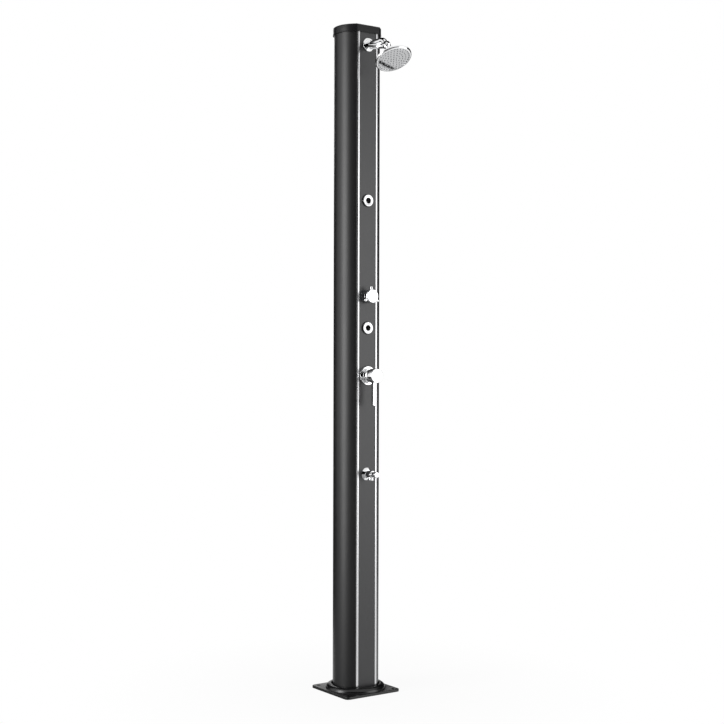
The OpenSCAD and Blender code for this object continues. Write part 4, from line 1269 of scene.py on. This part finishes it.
@dataclass
class ArmAndElbow(SubAssembly):
    """The arm's rosette, its bent tube, and the hexagon with the ball it carries."""

    cup: float = 14.1
    bevel: float = 2.0
    rim: float = 5.4
    dish: float = 1.4
    bend_radius: float = 25.0
    bend_steps: int = 16
    drop: float = 45.0
    reach: float = 83.5
    leg: float = 56.6
    tube: float = 9.8
    bore: float = 8.4
    thread: float = 10.4
    thread_in: float = 18.0
    nut: float = 6.0
    hex_radius: float = 13.5
    hex_edge: float = 0.7
    hex_back: float = 36.0
    hex_front: float = 22.0
    tube_in: float = 13.0
    cone: float = 11.8
    neck: float = 4.5
    neck_from: float = 16.0
    ball: float = 10.0
    ball_end: float = 9.689
    water: float = 2.5

    def build(self) -> None:
        """Builds the rosette, the arm and the ball stem."""
        panel = self.dresser.on_panel("arm_escutcheon")
        fittings = [
            (self._rosette(), Body.POST, "arm_escutcheon"),
            (self._tube(), Body.POST, "shower_arm"),
        ]
        self.fit_at(panel, fittings)
        joint = self.dresser.at_joint("head_tilt", 90.0 + self.drop)
        self.fit_at(joint, [(self._stem(), Body.POST, "ball_stem")])

    def _rosette(self) -> Piece:
        """Turns the hollow rosette with its dished front.

        Returns:
            The rosette.
        """
        r, h = self.dresser.reach("arm_escutcheon")
        hole, floor, inner = self.tube + FIT, h - self.dish, r - self.rim
        front = [
            (r, h - self.bevel, 0.8), (r - self.bevel, h, 0.8), (inner, h, 0.4),
            (inner - self.dish, floor, 0.4), (hole + 1.0, floor, 0.4), (hole, h - 0.6, 0.3),
        ]
        return self.rosette("arm_rosette", self.cup, h, front)

    def _tube(self) -> Piece:
        """Draws the arm: rings are extruded out of the panel, spun round the bend and led down the leg.

        Returns:
            The arm, its outer and inner skins bridged at both ends.
        """
        trim = self.bend_radius * math.tan(math.radians(self.drop / 2))
        straight = self.reach - trim - self.nut
        leg = self.leg - (self.hex_back - self.tube_in) - trim
        down = Matrix.Rotation(math.radians(self.drop), 3, "X") @ Vector((0.0, 0.0, leg * MM))
        skins = []
        for radius, root in ((self.tube, self.thread), (self.bore, self.bore)):
            Bench.clear()
            bpy.ops.mesh.primitive_circle_add(vertices=Sides.FITTING, radius=root * MM)
            skins.append(Bench.start("arm_skin"))
            bpy.ops.transform.translate(value=(0.0, 0.0, -self.thread_in * MM))
            Bench.push((self.thread_in + self.nut) * MM)
            if root != radius:
                Bench.push(0.0)
                bpy.ops.transform.resize(value=(radius / root, radius / root, 1.0))
            Bench.push(straight * MM)
            bpy.ops.mesh.spin(
                steps=self.bend_steps,
                angle=-math.radians(self.drop),
                center=(0.0, -self.bend_radius * MM, (self.nut + straight) * MM),
                axis=(1.0, 0.0, 0.0),
            )
            bpy.ops.mesh.extrude_region_move(TRANSFORM_OT_translate={"value": down})
        arm = Bench.joined("arm_tube", skins)
        bpy.ops.object.mode_set(mode="EDIT")
        bpy.ops.mesh.select_all(action="DESELECT")
        bpy.ops.mesh.select_non_manifold()
        bpy.ops.mesh.bridge_edge_loops()
        return Bench.seal(arm)

    def _stem(self) -> Piece:
        """Builds the hexagon, its cone, the neck and the ball, with the bore through them.

        Returns:
            The stem, with the ball's centre at the origin.
        """
        back, front, hole = -self.hex_back, -self.hex_front, self.tube + FIT
        stem = Bench.prism("ball_stem_piece", 6, self.hex_radius, back, front, self.hex_edge)
        shape = [
            (0.0, front - 3.0), (self.cone, front - 3.0), (self.cone, front + 1.0, 0.8),
            (self.neck, -self.neck_from, 1.5),
            *arc(self.ball, 0.0, -rise(self.ball, self.neck), self.ball_end, 24), (0.0, self.ball_end),
        ]
        Bench.carve(stem, [Bench.turned("stem_neck", shape)], Carving.FUSE)
        bore = [
            (0.0, back - CLEAR), (hole, back - CLEAR), (hole, front - 1.0),
            (self.water, front - 1.0), (self.water, self.ball + CLEAR), (0.0, self.ball + CLEAR),
        ]
        return Bench.carve(stem, [Bench.turned("stem_bore", bore, Sides.BORE)])


@dataclass
class ShowerHead(SubAssembly):
    """The ball joint's collar nut, the bell with its bright rim, the face and the soft nozzles."""

    tilt: float = 150.7
    joint: float = 10.3
    pocket: float = 12.0
    pocket_from: float = -1.8
    nut_radius: float = 14.2
    nut_back: float = -7.0
    nut_front: float = 9.0
    grips: int = 12
    grip_radius: float = 1.2
    neck: float = 13.0
    flare_from: float = 12.0
    water: float = 5.5
    rim: float = 60.0
    depth: float = 38.3
    rim_height: float = 8.0
    rim_round: float = 6.0
    wall: float = 7.0
    ledge: float = 2.0
    recess: float = 0.8
    face_thickness: float = 2.2
    groove_at: float = 2.6
    groove_slope: float = 0.4
    groove_width: float = 1.0
    groove_depth: float = 0.5
    pad: float = 1.5
    rings: int = 5
    ring_edge: float = 3.0
    nozzle: float = 1.7
    nozzle_height: float = 1.9

    def build(self) -> None:
        """Builds the head's pieces where the ball joint holds them."""
        fittings = [
            (self._nut(), Body.HEAD, "collar_nut"),
            (self._bell(), Body.HEAD, "head_shell"),
            (self._face(), Body.HEAD, "head_face"),
            (self._nozzles(), Body.HEAD, "head_nozzles"),
        ]
        self.fit_at(self.dresser.at_joint("head_tilt", self.tilt), fittings)

    def _nut(self) -> Piece:
        """Turns the collar nut and cuts its finger grooves.

        Returns:
            The nut.
        """
        r, back, front = self.nut_radius, self.nut_back, self.nut_front
        outline = [
            (rise(self.joint, back), back), (r, back, 0.8), (r, front, 1.4),
            *arc(self.pocket, 0.0, front, self.pocket_from, 8),
            *arc(self.joint, 0.0, self.pocket_from, back, 6),
        ]
        nut = Bench.turned("head_collar_nut", outline)
        groove = Bench.rod("groove", self.grip_radius, back - CLEAR, front + CLEAR, Sides.GROOVE)
        return Bench.carve(nut, Bench.copies(groove, around(self.grips, shift(r + self.grip_radius / 2))))

    def _flare(self, share: float, inset: float = 0.0, lift: float = 0.0) -> Corner:
        """Gives a point of the bell's outline.

        Args:
            share: How far along the bell, from 0 at the neck to 1 at the rim.
            inset: How much narrower the rim end is.
            lift: How much lower inside the point lies.

        Returns:
            The point.
        """
        curve = share**1.6 * (1 - share) + (1 - (1 - share) ** 2) * share
        height = self.depth - self.rim_height - self.flare_from
        return (self.neck + (self.rim - self.neck - inset) * share, self.flare_from + height * curve + lift)

    def _bell(self) -> Piece:
        """Turns the thin bell with its rolled rim and the ledge that the face lies on.

        Returns:
            The bell.
        """
        inner = self.rim - self.wall
        ledge = self.depth - self.recess - self.face_thickness - self.pad
        outer = [self._flare(i / 24) for i in range(25)]
        inside = [self._flare(i / 16, self.wall + self.ledge, self.wall) for i in range(16, -1, -1)]
        outline = [
            (self.neck, self.nut_front), *outer, (self.rim, self.depth, self.rim_round),
            (inner, self.depth, 0.6), (inner, ledge), (inner - self.ledge, ledge), *inside,
            (self.water, self.flare_from + self.wall),
            *arc(self.pocket, 0.0, rise(self.pocket, self.water), self.nut_front, 4),
            (self.neck, self.nut_front),
        ]
        return Bench.turned("head_bell", outline, Sides.LARGE)

    def _face(self) -> Piece:
        """Turns the face plate with a shallow groove round the nozzles.

        Returns:
            The plate.
        """
        r, top = self.rim - self.wall - FIT, self.depth - self.recess
        low, floor = top - self.face_thickness, top - self.groove_depth
        outer, inner = r - self.groove_at, r - self.groove_at - 2 * self.groove_slope - self.groove_width
        outline = [
            (0.0, low), (r, low), (r, top, 0.5), (outer, top, 0.3), (outer - self.groove_slope, floor, 0.3),
            (inner + self.groove_slope, floor, 0.3), (inner, top, 0.3), (0.0, top),
        ]
        return Bench.turned("head_face_plate", outline, Sides.LARGE)

    def _nozzles(self) -> Piece:
        """Makes one soft nozzle with its bore and sets it on the centre and the rings.

        Returns:
            The nozzles, joined.
        """
        root, r = self.depth - self.recess, self.nozzle
        foot, mouth, hole, tip = r + 0.5, r * 0.62, r * 0.34, root + self.nozzle_height
        outline = [
            (0.0, root - 0.6), (foot, root - 0.6), (foot, root + 0.1), (r, root + 0.5),
            (r * 0.8, tip - 0.2), (mouth, tip), (hole, tip), (hole, tip - 1.2), (0.0, tip - 1.2),
        ]
        first = Bench.turned("nozzle", outline, Sides.NOZZLE)
        pitch = (self.rim - self.wall - self.ring_edge) / self.rings
        places = [Matrix.Identity(4)]
        for ring in range(1, self.rings + 1):
            places += around(6 * ring, shift(ring * pitch))
        return Bench.joined("head_soft_nozzles", Bench.copies(first, places))


@dataclass
class BodyJets(SubAssembly):
    """The two body jets, each a gasket, a dished chrome ring and the ball that swivels in it."""

    gasket: float = 1.2
    gasket_out: float = 1.9
    barrel: float = 15.15
    flange: float = 18.15
    flange_top: float = 2.4
    seat: float = 1.5
    edge: float = 1.6
    joint: float = 9.8
    ball: float = 9.5
    ball_depth: float = -6.5
    flat: float = 7.5
    bore: float = 3.6
    mouth: float = 5.0
    mouth_depth: float = 2.4
    throat: float = 8.6
    land: float = 2.4
    dish: float = 1.0
    dish_sag: float = 0.15
    skirt: float = 12.8

    def build(self) -> None:
        """Builds both jets and joins their gaskets, which are one piece."""
        jets = (("upper_jet", Body.UPPER_JET), ("lower_jet", Body.LOWER_JET))
        gaskets = [self._jet(name, body) for name, body in jets]
        self.dresser.fit(Bench.joined("jet_gasket_pair", gaskets), Body.POST, "jet_gaskets")

    def _jet(self, name: str, body: Body) -> Piece:
        """Builds a jet's ring and ball.

        Args:
            name: The jet's name.
            body: The body that its ball is.

        Returns:
            Its gasket, in place.
        """
        node = name + "_ring"
        place = self.dresser.on_panel(node)
        ring, ball = Bench.place(self._ring(name), place), Bench.place(self._ball(name), place)
        self.dresser.fit(ring, Body.POST, node, slot="strip_chrome")
        self.dresser.fit(ball, body, name + "_ball", slot="rubber_black")
        inner, lip, top = self.barrel, self.dresser.reach(node)[0] + self.gasket_out, self.gasket
        washer = [(inner, 0.0), (lip, 0.0), (lip, top, 0.5), (inner, top), (inner, 0.0)]
        return Bench.place(Bench.turned("jet_gasket", washer), place)

    def _ring(self, jet: str) -> Piece:
        """Turns the ring with its dished front and the race that the ball turns in.

        Args:
            jet: The jet's name.

        Returns:
            The ring.
        """
        r, front = self.dresser.reach(jet + "_ring")[0], self.dresser.front(jet + "_ring")
        low, width, centre = front - self.dish, r - self.land - self.joint, self.ball_depth
        dish = [
            (self.joint + width * s, low + self.dish * (s - self.dish_sag * s * (1 - s)))
            for s in (i / 7 for i in range(7, -1, -1))
        ]
        outline = [
            (self.flange, self.seat), (r, self.seat), (r, front, self.edge), *dish,
            *arc(self.joint, centre, centre + rise(self.joint, self.throat), centre, 6),
            (self.skirt, centre), (self.skirt, self.flange_top), (self.flange, self.flange_top),
            (self.flange, self.seat),
        ]
        return Bench.turned(jet + "_chrome_ring", outline)

    def _ball(self, jet: str) -> Piece:
        """Turns the ball with its flat front, its mouth and its bore.

        Args:
            jet: The jet's name.

        Returns:
            The ball.
        """
        back, front = self.ball_depth - rise(self.ball, self.bore), self.ball_depth + self.flat
        outline = [
            (self.bore, back), (self.bore, front - self.mouth_depth), (self.mouth, front, 0.3),
            *arc(self.ball, self.ball_depth, front, back, 18),
        ]
        return Bench.turned(jet + "_swivel_ball", outline)


@dataclass
class Diverter(SubAssembly):
    """The diverter's rosette and its knob with three pegs."""

    spindle: float = 6.0
    cup: float = 14.1
    gap: float = 0.6
    neck: float = 11.0
    knob: float = 22.5
    back: float = 16.0
    front: float = 30.0
    dome: float = 3.5
    face: float = 20.6
    crown: float = 1.0
    edge: float = 1.6
    pegs: int = 3
    peg: float = 4.5
    peg_from: float = 10.0
    peg_reach: float = 32.0
    peg_height: float = 24.0
    peg_round: float = 3.2

    def build(self) -> None:
        """Builds the rosette and the knob."""
        r, h = self.dresser.reach("diverter_rosette")
        hole = self.spindle + self.gap
        front = [(r, h, 1.5), (hole + 1.4, h, 0.4), (hole, h - 0.4)]
        fittings = [
            (self.rosette("diverter_rosette_cup", self.cup, h, front), Body.POST, "diverter_rosette"),
            (self._knob(h), Body.DIVERTER, "diverter_knob"),
        ]
        self.fit_at(self.dresser.on_panel("diverter_rosette"), fittings)

    def _knob(self, rosette: float) -> Piece:
        """Turns the hub with its bore and sets the pegs into it.

        Args:
            rosette: Height of the rosette below the knob's neck.

        Returns:
            The knob.
        """
        foot, crest = rosette + self.gap, self.front + self.dome
        shoulder = crest - self.crown
        sphere = (self.face**2 + self.crown**2) / (2 * self.crown)
        outline = [
            (0.0, foot), (self.neck, foot, 0.5), (self.neck, self.back, 1.2), (self.knob, self.back, 1.2),
            (self.knob, self.front - 2.0, 1.5), (self.face, shoulder, self.edge),
            *arc(sphere, crest - sphere, shoulder, crest, 8)[1:-1], (0.0, crest),
        ]
        hub = Bench.turned("diverter_peg_knob", outline)
        Bench.carve(hub, [Bench.rod("knob_bore", self.spindle + FIT, rosette, self.peg_height, Sides.BORE)])
        peg = Bench.rod("peg", self.peg, self.peg_from, self.peg_reach, Sides.PEG, self.peg_round)
        up = turn(90.0, "Z") @ shift(z=self.peg_height) @ turn(90.0, "Y")
        return Bench.carve(hub, Bench.copies(peg, around(self.pegs, up)), Carving.FUSE)


@dataclass
class Mixer(SubAssembly):
    """The mixer's rosette, domed sleeve, round handle and hanging lever."""

    neck: float = 21.15
    foot: float = 1.4
    bevel: float = 2.4
    groove: float = 27.8
    groove_width: float = 2.8
    groove_depth: float = 2.6
    sleeve_in: float = 23.55
    sleeve_wall: float = 1.4
    nut_top: float = 14.15
    shoulder: float = 1.3
    pivot: float = 16.0
    dome: float = 21.0
    dome_wall: float = 1.5
    mouth: float = 13.5
    cavity: float = 21.6
    cavity_flat: float = 0.2
    handle_back: float = 26.5
    taper: float = 2.0
    taper_height: float = 3.0
    face_bevel: float = 6.0
    stem: float = 6.3
    stem_tip: float = 53.15
    slot_width: float = 10.3
    slot_height: float = 13.3
    slot_middle: float = 38.5
    lever_root: float = 19.0
    lever_edge: float = 1.5
    screw: float = 2.15
    screw_at: float = 50.0

    def build(self) -> None:
        """Builds the four pieces."""
        fittings = [
            (self._rosette(), Body.POST, "mixer_rosette"),
            (self._sleeve(), Body.POST, "mixer_sleeve"),
            (self._handle(), Body.HANDLE, "mixer_handle"),
            (self._lever(), Body.HANDLE, "mixer_lever"),
        ]
        self.fit_at(self.dresser.on_panel("mixer_rosette"), fittings)

    def _rosette(self) -> Piece:
        """Turns the rosette with its ring groove.

        Returns:
            The rosette.
        """
        r, h = self.dresser.reach("mixer_rosette")
        inner, outer, floor = self.groove - self.groove_width, self.groove, h - self.groove_depth
        outline = [
            (self.neck, 0.0), (r, 0.0), (r, self.foot, 0.5), (r - self.bevel, h, 1.2),
            (outer, h, 0.3), (outer, floor, 0.3), (inner, floor, 0.3), (inner, h, 0.02),
            (self.neck, h, 0.3), (self.neck, 0.0),
        ]
        return Bench.turned("mixer_rosette_ring", outline, Sides.MIXER)

    def _sleeve(self) -> Piece:
        """Turns the sleeve: a skirt over the nut and a dome with the handle's opening.

        Returns:
            The sleeve.
        """
        low = self.dresser.reach("mixer_rosette")[1]
        skirt, top = self.sleeve_in + self.sleeve_wall, self.nut_top + self.shoulder
        inner = self.dome - self.dome_wall
        mouth, inner_mouth = (self.pivot + rise(radius, self.mouth) for radius in (self.dome, inner))
        outline = [
            (self.sleeve_in, low), (skirt, low), (skirt, top, 0.65),
            *arc(self.dome, self.pivot, top, mouth, 12),
            *arc(inner, self.pivot, inner_mouth, self.nut_top, 10),
            (self.sleeve_in, self.nut_top), (self.sleeve_in, low),
        ]
        return Bench.turned("mixer_domed_sleeve", outline, Sides.MIXER)

    def _handle(self) -> Piece:
        """Turns the handle and cuts the lever's slot, the stem's square hole and the screw's hole.

        Returns:
            The handle.
        """
        r, front = self.dresser.reach("mixer_handle")[0], self.dresser.front("mixer_handle")
        back, top = self.handle_back, self.pivot + self.cavity
        outline = [
            (0.0, top), *arc(self.cavity, self.pivot, top - self.cavity_flat, back, 12),
            (r - self.taper, back, 0.5), (r, back + self.taper_height, 1.2),
            (r, front, 2.6), (r - self.face_bevel, front, 0.5), (0.0, front),
        ]
        handle = Bench.turned("mixer_round_handle", outline, Sides.MIXER)
        length = r - self.lever_root + 2 * CLEAR
        middle = (0.0, -self.lever_root - length / 2, self.slot_middle)
        slot = Bench.block("slot", (self.slot_width, length, self.slot_height), middle, 0.3)
        size = (self.stem, self.stem, self.stem_tip - self.pivot)
        hole = Bench.block("stem_hole", size, (0.0, 0.0, (self.stem_tip + self.pivot) / 2), 0.2)
        screw = Bench.rod("screw_hole", self.screw, 0.0, r + CLEAR, Sides.HOLE)
        Bench.place(screw, shift(z=self.screw_at) @ turn(90.0, "X"))
        return Bench.carve(handle, [slot, hole, screw])

    def _lever(self) -> Piece:
        """Makes the lever, a bar with softened edges.

        Returns:
            The lever.
        """
        low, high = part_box("mixer_lever")
        width, depth, height = ((b - a) / MM for a, b in zip(low, high))
        axis = self.dresser.on_panel("mixer_rosette").translation.z
        middle = (0.0, ((low.z + high.z) / 2 - axis) / MM, (self.dresser.face - (low.y + high.y) / 2) / MM)
        return Bench.block("mixer_hanging_lever", (width, height, depth), middle, self.lever_edge)


@dataclass
class FootTap(SubAssembly):
    """The foot tap's rosette, its body with the downward outlet, and its fluted knob."""

    shank: float = 21.0
    thread: float = 10.4
    flange: float = 14.0
    flange_height: float = 3.5
    barrel: float = 12.0
    bonnet: float = 10.6
    bonnet_from: float = 34.0
    bonnet_top: float = 37.0
    bore: float = 5.0
    outlet: float = 8.6
    outlet_at: float = 24.0
    outlet_drop: float = 20.0
    outlet_bore: float = 5.5
    outlet_edge: float = 2.0
    spindle: float = 4.95
    knob: float = 9.6
    knob_from: float = 37.3
    flutes: int = 8
    flute: float = 1.4

    def build(self) -> None:
        """Builds the three pieces."""
        fittings = [
            (self._rosette(), Body.POST, "tap_rosette"),
            (self._body(), Body.POST, "tap_body"),
            (self._knob(), Body.TAP, "tap_knob"),
        ]
        self.fit_at(self.dresser.on_panel("tap_rosette"), fittings)

    def _rosette(self) -> Piece:
        """Turns the rosette, a cup with a conical front.

        Returns:
            The rosette.
        """
        r, h = self.dresser.reach("tap_rosette")
        hole = self.barrel + FIT
        front = [(r, 1.0, 0.5), (hole + 1.8, h, 1.4), (hole + 0.4, h, 0.3), (hole, h - 0.4)]
        return self.rosette("tap_rosette_cup", self.flange + FIT, h, front)

    def _body(self) -> Piece:
        """Turns the body, joins the outlet to it and bores both.

        Returns:
            The body.
        """
        outline = [
            (0.0, -self.shank), (self.thread, -self.shank, 0.6), (self.thread, 0.0), (self.flange, 0.0),
            (self.flange, self.flange_height), (self.barrel, self.flange_height),
            (self.barrel, self.bonnet_from, 0.9), (self.bonnet, self.bonnet_from, 0.3),
            (self.bonnet, self.bonnet_top, 0.6), (0.0, self.bonnet_top),
        ]
        body = Bench.turned("tap_spout_body", outline)
        down = shift(z=self.outlet_at) @ turn(90.0, "X")
        spout = Bench.rod("spout", self.outlet, 0.0, self.outlet_drop, Sides.FITTING, self.outlet_edge)
        Bench.carve(body, [Bench.place(spout, down)], Carving.FUSE)
        bore = Bench.rod("bore", self.bore, -self.shank - CLEAR, self.bonnet_top + CLEAR, Sides.PEG)
        mouth = Bench.rod("mouth", self.outlet_bore, 0.0, self.outlet_drop + CLEAR, Sides.BORE)
        return Bench.carve(body, [bore, Bench.place(mouth, down)])

    def _knob(self) -> Piece:
        """Turns the knob with its spindle and cuts the flutes.

        Returns:
            The knob.
        """
        start = self.outlet_at + self.outlet_bore
        back, front = self.knob_from, self.dresser.front("tap_knob")
        outline = [
            (0.0, start), (self.spindle, start), (self.spindle, back),
            (self.knob, back, 0.8), (self.knob, front, 2.0), (0.0, front),
        ]
        knob = Bench.turned("tap_fluted_knob", outline)
        cut = Bench.rod("flute", self.flute, back - CLEAR, front + CLEAR, Sides.GROOVE)
        return Bench.carve(knob, Bench.copies(cut, around(self.flutes, shift(self.knob + self.flute / 2))))


def main() -> None:
    """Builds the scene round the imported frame."""
    logging.basicConfig(level=logging.INFO, format="%(name)s: %(message)s")
    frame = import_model()
    dresser = Dresser(frame)
    dresser.dress_nodes()
    for kind in (BaseFlange, RearShell, TopCap, ArmAndElbow, ShowerHead, BodyJets, Diverter, Mixer, FootTap):
        kind(dresser).build()
    Studio(Camera()).build()


if __name__ == "__main__":
    main()
